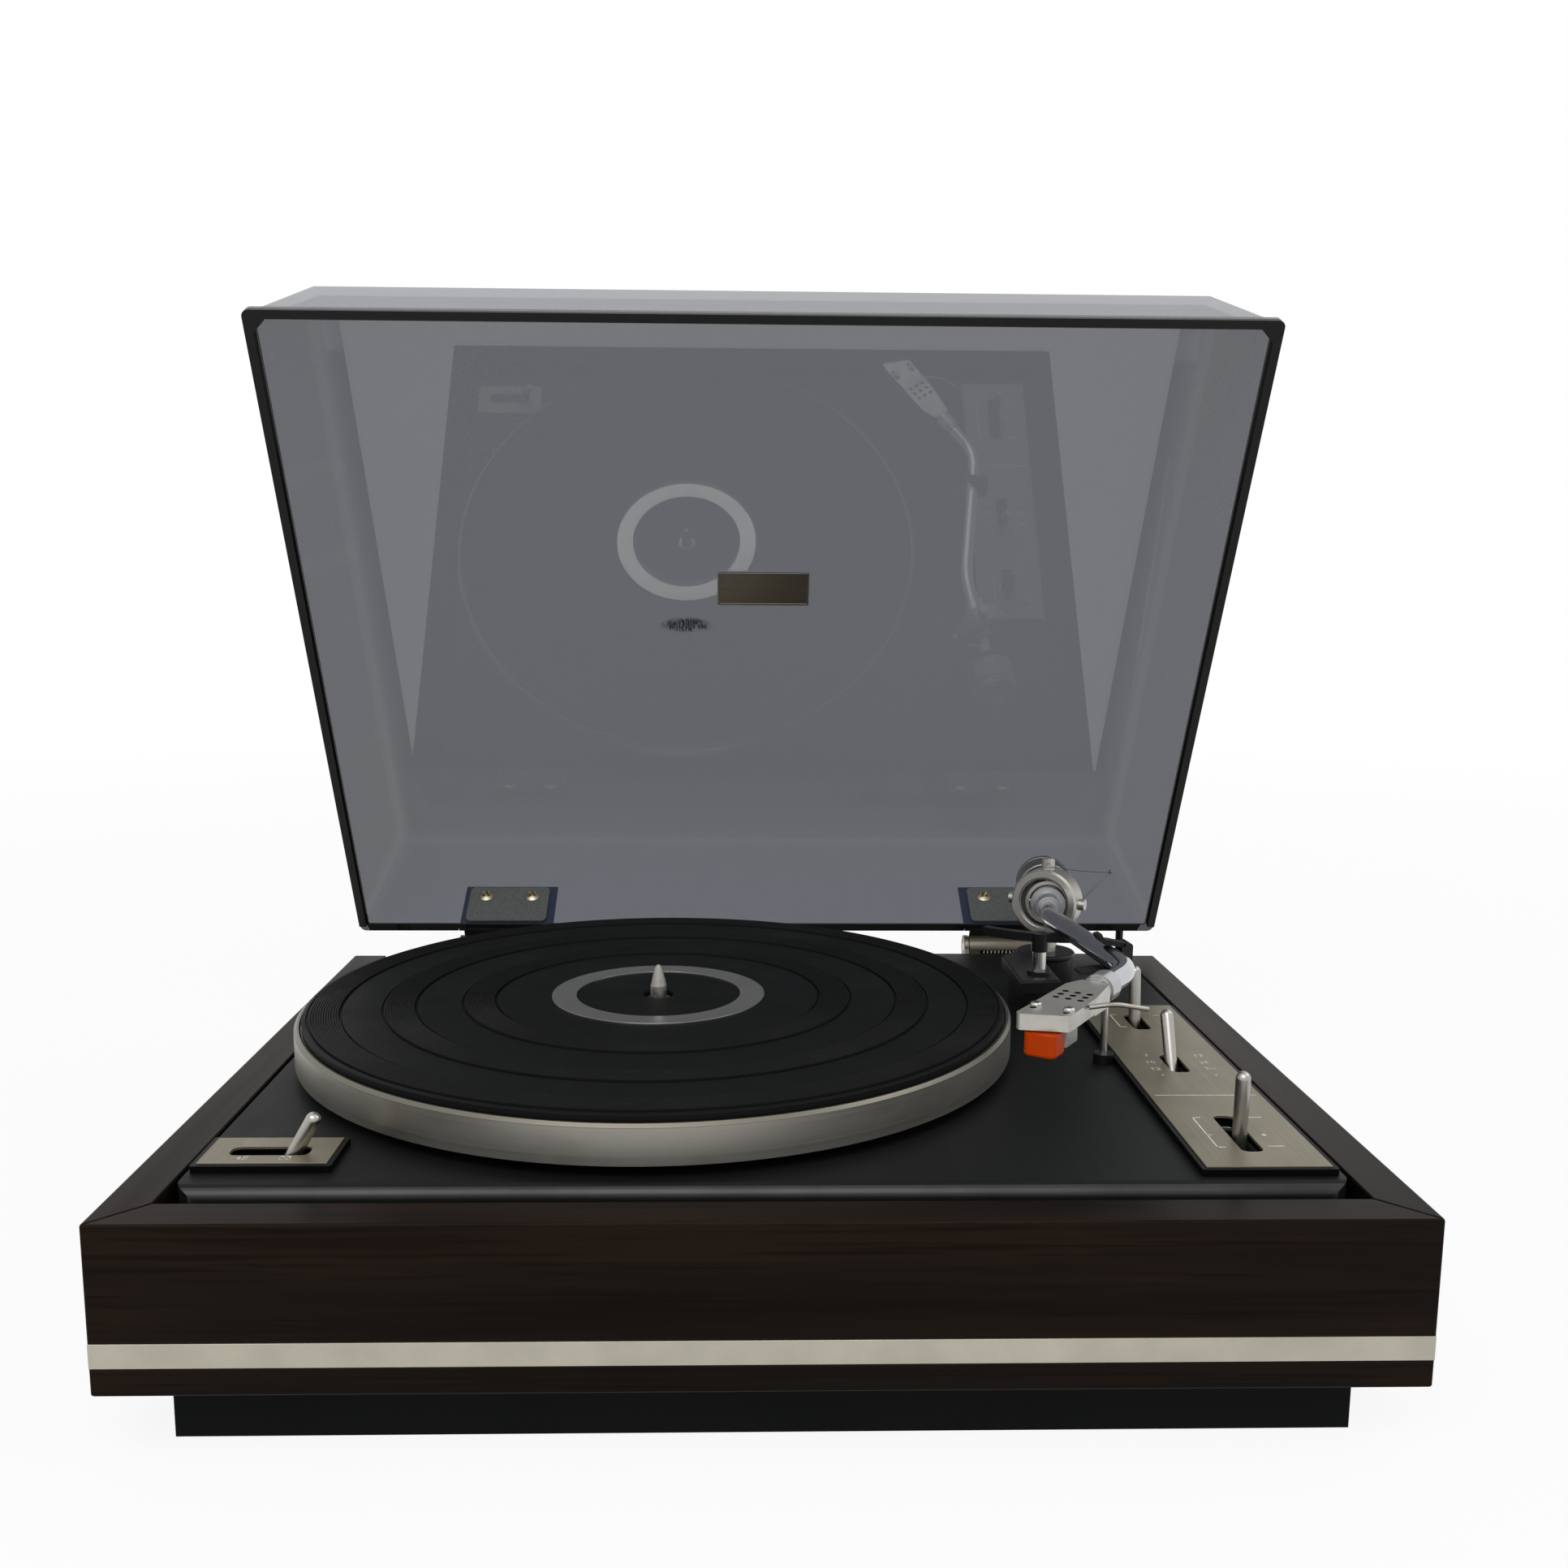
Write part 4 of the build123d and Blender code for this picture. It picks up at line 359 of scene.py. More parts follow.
def satin(name, color, roughness, metallic=1.0):
    """Plated or blasted metal with a very fine grain and faint handling marks."""
    paint = Paint(name, color, roughness, metallic)
    blast = paint.noise(paint.place(), scale=4200.0, detail=2.0, roughness=0.6)
    marks = paint.noise(paint.place(), scale=90.0, detail=4.0, roughness=0.6)
    paint.vary(marks, roughness * 0.85, roughness * 1.25, low=0.35)
    handled = paint.spread(marks, 0.4, 0.7)
    paint.feed("Base Color", paint.mix(handled, shade(*color), toned(color, 0.9)))
    paint.bump(blast, strength=0.05, depth=0.003 * MM)
    return paint.material


def two_part(name, low, high, inner, outer):
    """Two finishes on one moulding: the inner one lies between two heights, given in metres."""
    paint = Paint(name, *inner, Specular_IOR_Level=0.3)
    level = paint.axis(paint.place(), "Z")
    mask = (level > low) * (level < high)
    paint.feed("Base Color", paint.mix(mask, shade(*outer.color), shade(*inner.color)))
    speck = paint.noise(paint.place(), scale=1800.0, detail=3.0, roughness=0.6)
    rough = mask * (inner.roughness - outer.roughness) + outer.roughness
    paint.feed("Roughness", rough + speck * 0.06)
    paint.feed("Metallic", mask * (inner.metallic - outer.metallic) + outer.metallic)
    paint.bump(speck, strength=0.2, depth=0.01 * MM)
    return paint.material


def turned(name, color, roughness, centre, shoulder=1.0):
    """Metal turned on a lathe: fine rings about a centre, light stains, and a painted shade on the
    shoulder.

    The shoulder is the height in metres above which a painted shade makes the colour darker and
    browner.
    """
    rings_to_metre = 5200.0
    paint = Paint(name, color, roughness, 1.0)
    flat = paint.reach(paint.place(centre, (1, 1, 0)))
    height = paint.axis(paint.place(centre), "Z")
    section = paint.node(
        "ShaderNodeCombineXYZ", None, {0: flat * rings_to_metre, 1: height * rings_to_metre}
    )
    rings = paint.noise(section, scale=1.0)
    paint.vary(rings, roughness * 0.85, roughness * 1.2)
    stains = paint.noise(paint.place(centre, (1, 1, 2.5)), scale=30.0, detail=4.0, roughness=0.65)
    stained = paint.mix(paint.spread(stains, 0.5, 0.72) * 0.35, shade(*color), toned(color, 0.55))
    # Painted shade: above the shoulder the colour is darker and browner, to tone down the bevel's
    # highlight
    shoulder_shade = paint.spread(height, shoulder - 0.3 * MM, shoulder + 0.3 * MM)
    shoulder_shade_color = shade(color[0] * 0.48, color[1] * 0.47, color[2] * 0.43)
    paint.feed("Base Color", paint.mix(shoulder_shade, stained, shoulder_shade_color))
    paint.bump(rings, strength=0.25, depth=0.02 * MM)
    return paint.material


def deck_paint(name, box):
    """Black stipple paint on a pressed pan, rubbed to a sheen along its rolled front edge."""
    paint = Paint(name, (0.006, 0.0068, 0.0065), 0.5, Specular_IOR_Level=0.12, Coat_Roughness=0.32)
    point = paint.place()
    speck = paint.noise(point, scale=2600.0, detail=3.0, roughness=0.6)
    rubbed = paint.grain((30.0, 8.0, 8.0), detail=3.0, roughness=0.6)
    front = paint.axis(point, "Y") < box[0].y + 2.6 * MM
    edge = paint.axis(point, "Z") > box[1].z - 6 * MM
    paint.feed("Coat Weight", front * edge * paint.spread(rubbed, 0.3, 0.6, 0.4, 0.7))
    paint.feed("Base Color", paint.ramp(
        speck, (0.35, (0.0046, 0.0052, 0.005)), (0.65, (0.0078, 0.0088, 0.0084))
    ))
    paint.vary(rubbed, 0.45, 0.58)
    paint.bump(speck, strength=0.35, depth=0.05 * MM)
    return paint.material


def rimmed(name, color, rim_color, box, up):
    """A brushed plate with a bright rim drawn along its four edges."""
    paint = Paint(name, color, 0.3, 0.7)
    centre, half = (box[0] + box[1]) / 2, (box[1] - box[0]) / 2
    half_height = half.y * abs(up.y) + half.z * abs(up.z)
    point = paint.place(centre)
    ends = abs(paint.axis(point, "X")) > half.x - 0.6 * MM
    edges = abs(paint.along(point, up)) > half_height - 0.9 * MM
    rim = paint.math("MAXIMUM", ends, edges)
    lines = paint.grain((8.0, 2600.0, 2600.0), detail=3.0, roughness=0.6)
    paint.vary(lines, 0.24, 0.38)
    paint.feed("Base Color", paint.mix(rim, shade(*color), shade(*rim_color)))
    paint.bump(lines, strength=0.35, depth=0.02 * MM)
    return paint.material


def rubber(name, color, roughness=0.62):
    """Matt black rubber with a bloom of dust."""
    paint = Paint(name, color, roughness, Specular_IOR_Level=0.09)
    dust = paint.noise(paint.place(), scale=900.0, detail=3.0, roughness=0.7)
    bloom = paint.noise(paint.place(), scale=22.0, detail=3.0, roughness=0.6)
    dusty = paint.spread(dust, 0.62, 0.8) * paint.spread(bloom, 0.35, 0.75) * 0.35
    paint.feed("Base Color", paint.mix(dusty, shade(*color), shade(0.08, 0.078, 0.072)))
    paint.vary(bloom, roughness * 0.85, roughness * 1.15)
    paint.bump(dust, strength=0.2, depth=0.04 * MM)
    return paint.material


def chrome(name, color, roughness):
    """Polished plate with faint haze."""
    paint = Paint(name, color, roughness, 1.0)
    haze = paint.noise(paint.place(), scale=160.0, detail=3.0, roughness=0.6)
    paint.vary(haze, roughness, roughness * 2.2, low=0.4)
    return paint.material


def clear_plastic(name, color, alpha, roughness=0.12, gloss=0.5):
    """A tinted clear moulding."""
    paint = Paint(name, color, roughness, Alpha=alpha, Specular_IOR_Level=gloss)
    flow = paint.noise(paint.place(), scale=300.0)
    paint.vary(flow, roughness, roughness * 1.6)
    return paint.material


def smoked_acrylic(name):
    """Smoked acrylic, with hairline scratches, dust, a scuff and a dark rim."""
    finish = bpy.context.scene.turntable_finish
    paint = Paint(
        name, finish.smoke_color, 0.01, Alpha=finish.smoke_alpha, IOR=1.49, Specular_IOR_Level=1.0
    )
    point = paint.place()
    haze = paint.noise(point, scale=9.0, detail=4.0, roughness=0.6)
    hairline = paint.spread(paint.grain((26.0, 900.0, 420.0), detail=2.0), 0.66, 0.74)
    scuff_at = RIM_AT + Vector((finish.scuff_x, 0, 0)) - LID_BACK * finish.scuff_from_rear
    scuff_at += LID_UP * (70 * MM)
    near = paint.reach(paint.place(scuff_at, (0.62, 2.1, 2.1)))
    streaks = paint.grain((1500.0, 260.0, 260.0), detail=3.0, roughness=0.7)
    scuff = paint.spread(near, 4 * MM, 9.5 * MM, 1.0, 0.0) * paint.spread(streaks, 0.44, 0.56)
    dust = paint.spread(paint.noise(point, scale=1400.0, roughness=0.6), 0.72, 0.8) * 0.15
    rim = paint.along(paint.place(RIM_AT), LID_UP) < 0.9 * MM
    clean = paint.mix(dust, shade(*finish.smoke_color), shade(0.2, 0.2, 0.2))
    marked = paint.math("MAXIMUM", scuff, rim)
    paint.feed("Base Color", paint.mix(marked, clean, shade(0.012, 0.012, 0.013)))
    polish = paint.spread(haze, 0.35, 0.7, 0.004, 0.014)
    paint.feed("Roughness", polish + hairline * 0.05 + scuff * 0.4)
    paint.feed("Alpha", paint.math("MINIMUM", (scuff + rim) * 0.6 + finish.smoke_alpha, 1.0))
    return paint.material


# Mesh tools
def smooth(mesh, angle=SHARP):
    """Smooth shading with sharp edges past an angle in degrees."""
    mesh.shade_smooth()
    mesh.set_sharp_from_angle(angle=math.radians(angle))


def mesh_of(form, name, angle=SHARP):
    """Makes a smooth mesh of a form, and frees the form."""
    mesh = bpy.data.meshes.new(name)
    form.to_mesh(mesh)
    form.free()
    smooth(mesh, angle)
    return mesh


def link(name, mesh, body, slot, *materials):
    """Makes an object of a mesh, with its finish, that rides on a body."""
    made = bpy.data.objects.new(name, mesh)
    bpy.context.scene.collection.objects.link(made)
    for material in materials:
        mesh.materials.append(material)
    if body:
        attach(made, body)
    return made


def slot_of(node):
    """The record's material slot of a CAD node."""
    for entry in frame["record"]["subparts"]:
        if entry["node"] == node:
            return entry["material_slot"]
    raise ValueError(f"no slot for {node}")


def stand_in(node, mesh, *materials):
    """Makes an object of a mesh that takes a CAD node's place."""
    made = link(node + "_finished", mesh, NODES[node]["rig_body"], slot_of(node), *materials)
    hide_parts(node)
    return made


def welded(node):
    """A copy of a CAD node's mesh with its doubled points joined."""
    form = bmesh.new()
    form.from_mesh(NODES[node].data)
    bmesh.ops.remove_doubles(form, verts=form.verts, dist=SAME_PLACE)
    return form


def islands(node):
    """The separate solids of a CAD node, each as a list of its points."""
    form = welded(node)
    left = set(form.verts)
    groups = []
    while left:
        seed = left.pop()
        group, waiting = [seed], [seed]
        while waiting:
            for edge in waiting.pop().link_edges:
                for vertex in edge.verts:
                    if vertex in left:
                        left.remove(vertex)
                        group.append(vertex)
                        waiting.append(vertex)
        groups.append([vertex.co.copy() for vertex in group])
    form.free()
    return groups


def soften(node, width, material, steps=2, angle=35, fine_near=(), reach=0.0, hole_shade=None):
    """Replaces a CAD node with the same form whose edges are rounded, to a width in millimetres.

    Edges within a reach of the given points are rounded far less, and the walls of the holes
    there take the hole shade: a second finish, painted shade for the shade inside the holes.
    """
    form = welded(node)
    bmesh.ops.dissolve_limit(
        form, angle_limit=SAME_FLAT, verts=form.verts, edges=form.edges, delimit={"NORMAL"}
    )

    def is_fine(spot):
        return any((spot - point).xy.length < reach for point in fine_near)

    weight = form.edges.layers.float.new("bevel_weight_edge")
    for edge in form.edges:
        if edge.calc_face_angle(0) > math.radians(angle):
            edge[weight] = 0.2 if is_fine((edge.verts[0].co + edge.verts[1].co) / 2) else 1.0
    # Walls of holes near the given points take the second finish, a painted shade
    for face in form.faces:
        if abs(face.normal.z) < 0.5 and is_fine(face.calc_center_median()):
            face.material_index = 1
    mesh = mesh_of(form, node + "_finished")
    made = stand_in(node, mesh, *((material, hole_shade) if hole_shade else (material,)))
    bevel = made.modifiers.new("rounded edges", "BEVEL")
    bevel.width = width * MM
    bevel.segments = steps
    bevel.limit_method = "WEIGHT"
    bevel.use_clamp_overlap = True
    flats = made.modifiers.new("flat faces", "WEIGHTED_NORMAL")
    flats.keep_sharp = True
    return made


def dress(node, material):
    """Gives a CAD node its finish and leaves its shape."""
    piece = NODES[node]
    piece.data.materials.clear()
    piece.data.materials.append(material)
    smooth(piece.data)


def turns(count):
    """The cosine and sine of each of a count of equal turns."""
    for step in range(count):
        turn = 2 * math.pi * step / count
        yield math.cos(turn), math.sin(turn)


def square_to(axis):
    """Two directions square to an axis and to each other."""
    across = axis.orthogonal().normalized()
    return across, axis.cross(across)


def skin(form, rings):
    """Covers the gap from each closed ring of points to the next."""
    for near, far in zip(rings, rings[1:]):
        for side in range(len(near)):
            other = (side + 1) % len(near)
            form.faces.new((near[side], near[other], far[other], far[side]))


def lathe(name, profile, centre, axis, steps, body, slot, material, angle):
    """A form turned about a line: the profile is radius and height along it, in millimetres."""
    form = bmesh.new()
    across, beside = square_to(axis)
    rings = [
        [
            form.verts.new(
                centre + (across * cos + beside * sin) * (radius * MM) + axis * (height * MM)
            )
            for cos, sin in turns(steps)
        ]
        for radius, height in profile
    ]
    skin(form, rings)
    bmesh.ops.remove_doubles(form, verts=form.verts, dist=1e-7)
    bmesh.ops.recalc_face_normals(form, faces=form.faces)
    return link(name, mesh_of(form, name, angle), body, slot, material)


def tube(name, points, radius, body, slot, material, sides=6):
    """A thin round wire along a run of points in metres, its radius in millimetres."""
    form = bmesh.new()
    rings = []
    for index, point in enumerate(points):
        before = points[max(index - 1, 0)]
        after = points[min(index + 1, len(points) - 1)]
        across, beside = square_to((after - before).normalized())
        rings.append([
            form.verts.new(point + (across * cos + beside * sin) * (radius * MM))
            for cos, sin in turns(sides)
        ])
    skin(form, rings)
    form.faces.new(rings[0])
    form.faces.new(rings[-1])
    bmesh.ops.recalc_face_normals(form, faces=form.faces)
    return link(name, mesh_of(form, name, 60), body, slot, material)


def trim(node, up, sides, top):
    """Narrows each solid of a finished piece at its sides and lowers its top edge, in metres."""
    piece = bpy.data.objects[node + "_finished"]
    for points in islands(node):
        low = min(point.x for point in points)
        high = max(point.x for point in points)
        foot = min(point.dot(up) for point in points)
        head = max(point.dot(up) for point in points)
        middle_x = (low + high) / 2
        narrower = 1 - 2 * sides / (high - low)
        for vertex in piece.data.vertices:
            if low - SAME_PLACE < vertex.co.x < high + SAME_PLACE:
                drop = (vertex.co.dot(up) - foot) / (head - foot) * top
                vertex.co.x = middle_x + (vertex.co.x - middle_x) * narrower
                vertex.co -= up * drop


def bar_between(form, start, end, half, height):
    """Adds a thin flat bar between two points of one level to a form."""
    run = (end - start).normalized()
    side = run.cross(UP) * half
    corners = [start - run * half + side, end + run * half + side,
               end + run * half - side, start - run * half - side]
    low = [form.verts.new(corner) for corner in corners]
    high = [form.verts.new(corner + UP * height) for corner in corners]
    form.faces.new(low)
    form.faces.new(high)
    skin(form, [low, high])


def digit_strokes(text, x, y, height):
    """The strokes of plain numbers, centred on a point, in millimetres."""
    width = height * 0.55
    pitch = height * 0.85
    start = x - (pitch * (len(text) - 1) + width) / 2
    for index, digit in enumerate(text):
        for line in DIGITS[digit]:
            points = [(start + index * pitch + u * width, y + (v - 0.5) * height) for u, v in line]
            yield from zip(points, points[1:])


def plate_marks(level, material):
    """Pale lines, dots and plain numbers on the control plates, at a level in millimetres."""
    form = bmesh.new()
    print_height = 0.04
    line_half, digit_half, digit_height = 0.24, 0.19, 2.6
    strokes = [((x0, y0), (x1, y1), line_half) for x0, y0, x1, y1 in MARK_LINES]
    for text, x, y in MARK_NUMBERS:
        strokes += [
            (first, last, digit_half) for first, last in digit_strokes(text, x, y, digit_height)
        ]
    for (x0, y0), (x1, y1), half in strokes:
        start, end = Vector((x0, y0, level)) * MM, Vector((x1, y1, level)) * MM
        bar_between(form, start, end, half * MM, print_height * MM)
    for x, y, radius in MARK_DOTS:
        form.faces.new([
            form.verts.new(Vector((x + radius * cos, y + radius * sin, level + print_height)) * MM)
            for cos, sin in turns(20)
        ])
    bmesh.ops.recalc_face_normals(form, faces=form.faces)
    mesh = mesh_of(form, "plate_marks")
    return link("plate_marks", mesh, "plinth", slot_of("control_faces"), material)


def recess(u, v, head):
    """The depth of a screw's cross recess at a place on a head of a given radius."""
    slot, arm = min(abs(u), abs(v)), max(abs(u), abs(v))
    half_width, length = 0.13 * head, 0.55 * head
    if slot < half_width and arm < length:
        return min((length - arm) * 1.1 + 0.1 * head, 0.4 * head)
    return 0.0


def screw_rings(form, points, axis):
    """The rings of one screw, from the middle of its domed head to its tip, over a CAD screw."""
    sides, rows = 64, 15
    levels = [point.dot(axis) for point in points]
    flat = [point - axis * level for point, level in zip(points, levels)]
    centre = sum(flat, Vector()) / len(flat)
    reaches = [(place - centre).length for place in flat]
    top, tip = max(levels), min(levels)
    head = max(reaches)
    under = min(level for level, reach in zip(levels, reaches) if reach > head * 0.98)
    shaft = max(reach for level, reach in zip(levels, reaches) if level < tip + 0.1 * MM)
    across, beside = square_to(axis)

    def ring(radius, level, cut):
        made = []
        for cos, sin in turns(sides):
            u, v = radius * cos, radius * sin
            depth = recess(u, v, head) if cut else 0.0
            made.append(form.verts.new(centre + across * u + beside * v + axis * (level - depth)))
        return made

    domed = []
    for row in range(rows + 1):
        share = row / rows
        dome = (top - under) * (1 - 0.75 * share ** 2.2)
        domed.append(ring(head * share, under + dome, True))
    return domed + [ring(head, under, False), ring(shaft, under, False), ring(shaft, tip, False)]


def cross_screws(node, axis, material):
    """Round-headed screws with a cross recess, in place of a node's plain ones."""
    form = bmesh.new()
    for points in islands(node):
        rings = screw_rings(form, points, axis)
        skin(form, rings)
        form.faces.new(rings[-1])
    bmesh.ops.remove_doubles(form, verts=form.verts, dist=SAME_PLACE / 2)
    bmesh.ops.recalc_face_normals(form, faces=form.faces)
    return stand_in(node, mesh_of(form, node + "_finished", 28), material)


def shell_point(along, side):
    """A place on the headshell's plane, from the tube's second bend, in millimetres."""
    collar_along = 31
    return COLLAR_AT + SHELL_FORWARD * ((along - collar_along) * MM) + SHELL_RIGHT * (side * MM)


def mat_profile(rib_count):
    """The mat's section, from its rim inward: radius and height, in millimetres."""
    low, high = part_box("rubber_mat")
    ring_low, ring_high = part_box("label_ring")
    edge, base, top = (high.x - low.x) / 2 / MM, low.z / MM, high.z / MM
    floor = top - 0.6
    rim_bevel, rim_drop, rim_round = 1.5, 1.0, 0.15
    groove, groove_width, slope = floor - 0.7, 0.8, 0.2
    shoulder, round_off, rib_depth = 0.6, 0.06, 0.3
    profile = [(edge, base), (edge, top - rim_drop - rim_round)]
    profile += [(edge - rim_round, top - rim_drop), (edge - rim_bevel, floor)]
    for inner_share, outer_share in MAT_BAND_SHARES:
        inner, outer = edge * inner_share, edge * outer_share
        pitch = (outer - inner - 2 * shoulder) / rib_count
        profile += [(outer + groove_width + slope, floor), (outer + groove_width, groove)]
        profile += [(outer, groove), (outer - slope, top - round_off), (outer - shoulder, top)]
        for index in range(rib_count):
            rib = outer - shoulder - index * pitch
            profile += [(rib - pitch * 0.25, top), (rib - pitch * 0.5, top - rib_depth)]
            profile.append((rib - pitch * 0.75, top))
        profile += [(inner + shoulder, top), (inner + slope, top - round_off), (inner, groove)]
        profile += [(inner - groove_width, groove), (inner - groove_width - slope, floor)]
    fit, seat_gap, ring_width = 0.05, 0.02, 10.75
    ring_out = (ring_high.x - ring_low.x) / 2 / MM
    ring_in, seat = ring_out - ring_width, ring_low.z / MM - seat_gap
    profile += [(ring_out + fit, floor), (ring_out + fit, seat), (ring_in, seat), (ring_in, floor)]
    eye, eye_bevel, eye_drop = 6.5, 0.6, 0.4
    profile += [(eye + eye_bevel, floor), (eye, floor - eye_drop), (eye, base), (edge, base)]
    return profile


# Plain marks on the control plates: lines, dots and numbers with their places in millimetres
MARK_LINES = (
    (161.8, -86.2, 161.8, -116.1), (161.8, -86.2, 164.6, -86.2), (161.8, -116.1, 164.6, -116.1),
    (161.8, -104.0, 163.4, -104.0), (182.6, -86.2, 188.0, -86.2), (180.6, -115.3, 186.0, -115.3),
    (154.6, -61.5, 194.3, -61.5), (164.1, 49.3, 164.1, 30.0), (164.1, 49.3, 166.9, 49.3),
    (164.1, 30.0, 166.9, 30.0), (184.0, 48.0, 186.8, 48.0), (184.0, 31.2, 186.8, 31.2),
)
MARK_DOTS = ((182.7, -104.4, 0.85), (164.6, -37.0, 0.5), (186.7, -37.0, 0.5))
MARK_NUMBERS = (
    ("7", 164.5, -11.6), ("10", 163.9, -20.4), ("12", 163.7, -29.1),
    ("17", 186.9, -12.0), ("25", 186.7, -20.7), ("30", 186.8, -29.2),
    ("45", -183.1, -123.4), ("33", -168.0, -123.4),
)
DIGITS = {
    "0": ((
        (0, 0.15), (0, 0.85), (0.2, 1), (0.8, 1), (1, 0.85), (1, 0.15), (0.8, 0), (0.2, 0), (0, 0.15),
    ),),
    "1": (((0.2, 0.8), (0.5, 1), (0.5, 0)),),
    "2": (((0, 0.82), (0.25, 1), (0.75, 1), (1, 0.82), (1, 0.62), (0, 0), (1, 0)),),
    "3": ((
        (0, 1), (1, 1), (0.45, 0.6), (0.8, 0.58), (1, 0.4), (1, 0.18), (0.75, 0), (0.25, 0), (0, 0.18),
    ),),
    "4": (((0.75, 0), (0.75, 1), (0, 0.3), (1, 0.3)),),
    "5": ((
        (1, 1), (0.1, 1), (0, 0.55), (0.7, 0.62), (1, 0.42), (1, 0.18), (0.75, 0), (0.2, 0), (0, 0.14),
    ),),
    "7": (((0, 1), (1, 1), (0.35, 0)),),
}


# The ribbed bands of the mat, as shares of its radius, from the rim inward
MAT_BAND_SHARES = ((0.9, 0.982), (0.695, 0.78), (0.472, 0.558))

# Each lamp's name, place, width and depth in metres, and power in watts
LAMPS = (
    ("window", (-0.25, -1.15, 1.5), (1.5, 0.9), 14.0),
    ("fill", (1.4, 0.1, 1.3), (1.0, 1.0), 5.0),
)


# Sizes and colours that a user would change
class TurntableFinish(bpy.types.PropertyGroup):
    """Colours and sizes of the turntable's finishes."""

    smoke_color: bpy.props.FloatVectorProperty(
        name="Smoke colour", description="Tint of the dust cover", subtype="COLOR",
        size=3, default=(0.028, 0.043, 0.09), min=0, max=1,
    )
    smoke_alpha: bpy.props.FloatProperty(
        name="Smoke strength", description="How little one face of the cover lets through",
        default=0.655, min=0, max=1, subtype="FACTOR",
    )
    scuff_x: bpy.props.FloatProperty(
        name="Scuff across", description="The scuff's place across the cover",
        default=-0.0398, subtype="DISTANCE", unit="LENGTH",
    )
    scuff_from_rear: bpy.props.FloatProperty(
        name="Scuff from rear", description="The scuff's distance from the rear rim",
        default=0.1524, subtype="DISTANCE", unit="LENGTH",
    )
    rib_count: bpy.props.IntProperty(
        name="Ribs in a band", description="Fine ribs in each band of the mat", default=11, min=3,
    )
    lathe_steps: bpy.props.IntProperty(
        name="Lathe steps", description="Steps round the platter and mat", default=200, min=24,
    )


class TurntableStage(bpy.types.PropertyGroup):
    """The camera and the light."""

    lens: bpy.props.FloatProperty(
        name="Lens", description="Focal length in millimetres", default=34.103, min=1,
        unit="CAMERA",
    )
    eye: bpy.props.FloatVectorProperty(
        name="Eye", description="The camera's place", subtype="TRANSLATION", size=3,
        default=(-0.010737, -0.620284, 0.284282), unit="LENGTH",
    )
    yaw: bpy.props.FloatProperty(
        name="Yaw", description="Turn to the right", default=0.0249627, subtype="ANGLE",
    )
    pitch: bpy.props.FloatProperty(
        name="Pitch", description="Tilt upward", default=-0.1564586, subtype="ANGLE",
    )
    roll: bpy.props.FloatProperty(
        name="Roll", description="Turn about the view", default=0.0062359, subtype="ANGLE",
    )
    shift: bpy.props.FloatVectorProperty(
        name="Shift", description="The frame's shift across and up", size=2,
        default=(0.0063, 0.02081),
    )
    room_light: bpy.props.FloatProperty(
        name="Room light", description="Strength of the even light", default=0.5, min=0,
    )


class TURNTABLE_OT_case(bpy.types.Operator):
    """Veneers the case and paints its base"""

    bl_idname = "turntable.case"
    bl_label = "Case"

    def execute(self, context):
        grain_x = rosewood("rosewood_front", "x")
        grain_y = rosewood("rosewood_side", "y")
        soften("front_board", 0.7, grain_x)
        for node in ("left_board", "right_board"):
            soften(node, 0.7, grain_y)
        soften("front_stripe", 0.15, brushed(
            "champagne_inlay", (0.5, 0.47, 0.38), 0.38, (30.0, 4000.0, 4000.0), metallic=0.35
        ))
        board = particle_board("particle_board")
        for node in ("rear_panel", "bottom_panel", "corner_blocks"):
            dress(node, board)
        soften("base_skirt", 0.8, painted(
            "base_black", (0.004, 0.0046, 0.0044), 0.5, grain=1200.0, depth=0.06 * MM, gloss=0.06
        ))
        zinc = brushed("zinc_plate", (0.55, 0.54, 0.5), 0.35, (200.0, 200.0, 200.0))
        for node in ("base_screws", "lever_brackets"):
            soften(node, 0.2, zinc)
        return {"FINISHED"}


class TURNTABLE_OT_deck(bpy.types.Operator):
    """Finishes the deck, its control plates and the levers"""

    bl_idname = "turntable.deck"
    bl_label = "Deck and controls"

    def execute(self, context):
        soften("deck_plate", 0.4, deck_paint("deck_black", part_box("deck_plate")))
        soften("plate_surrounds", 0.25, painted(
            "surround_black", (0.003, 0.003, 0.0034), 0.4, grain=1500.0, depth=0.02 * MM, gloss=0.06
        ))
        soften("control_faces", 0.12, brushed(
            "champagne_plate", (0.228, 0.204, 0.142), 0.42, (3200.0, 14.0, 3200.0), metallic=0.6
        ))
        plate_marks(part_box("control_faces")[1].z / MM, painted(
            "mark_pale", (0.78, 0.76, 0.68), 0.5, grain=900.0, depth=0.01 * MM
        ))
        lever_metal = satin("lever_satin", (0.4, 0.385, 0.355), 0.32)
        for node in ("speed_lever", "start_lever", "size_lever", "cue_lever"):
            dress(node, lever_metal)
        steel = chrome("ground_steel", (0.55, 0.55, 0.55), 0.18)
        for node in ("lever_pins", "thrust_ball", "hinge_pins", "motor_pulley"):
            dress(node, steel)
        dress("motor", brushed("motor_can", (0.4, 0.4, 0.4), 0.4, (60.0, 60.0, 900.0)))
        black = rubber("rubber_black", (0.006, 0.006, 0.0062))
        for node in ("motor_grommets", "drive_belt", "cord_bushes"):
            dress(node, black)
        dress("bearing_housing", brushed(
            "bearing_metal", (0.55, 0.5, 0.4), 0.3, (300.0, 300.0, 30.0)
        ))
        dress("earth_terminal", chrome("terminal_brass", (0.6, 0.45, 0.2), 0.25))
        return {"FINISHED"}


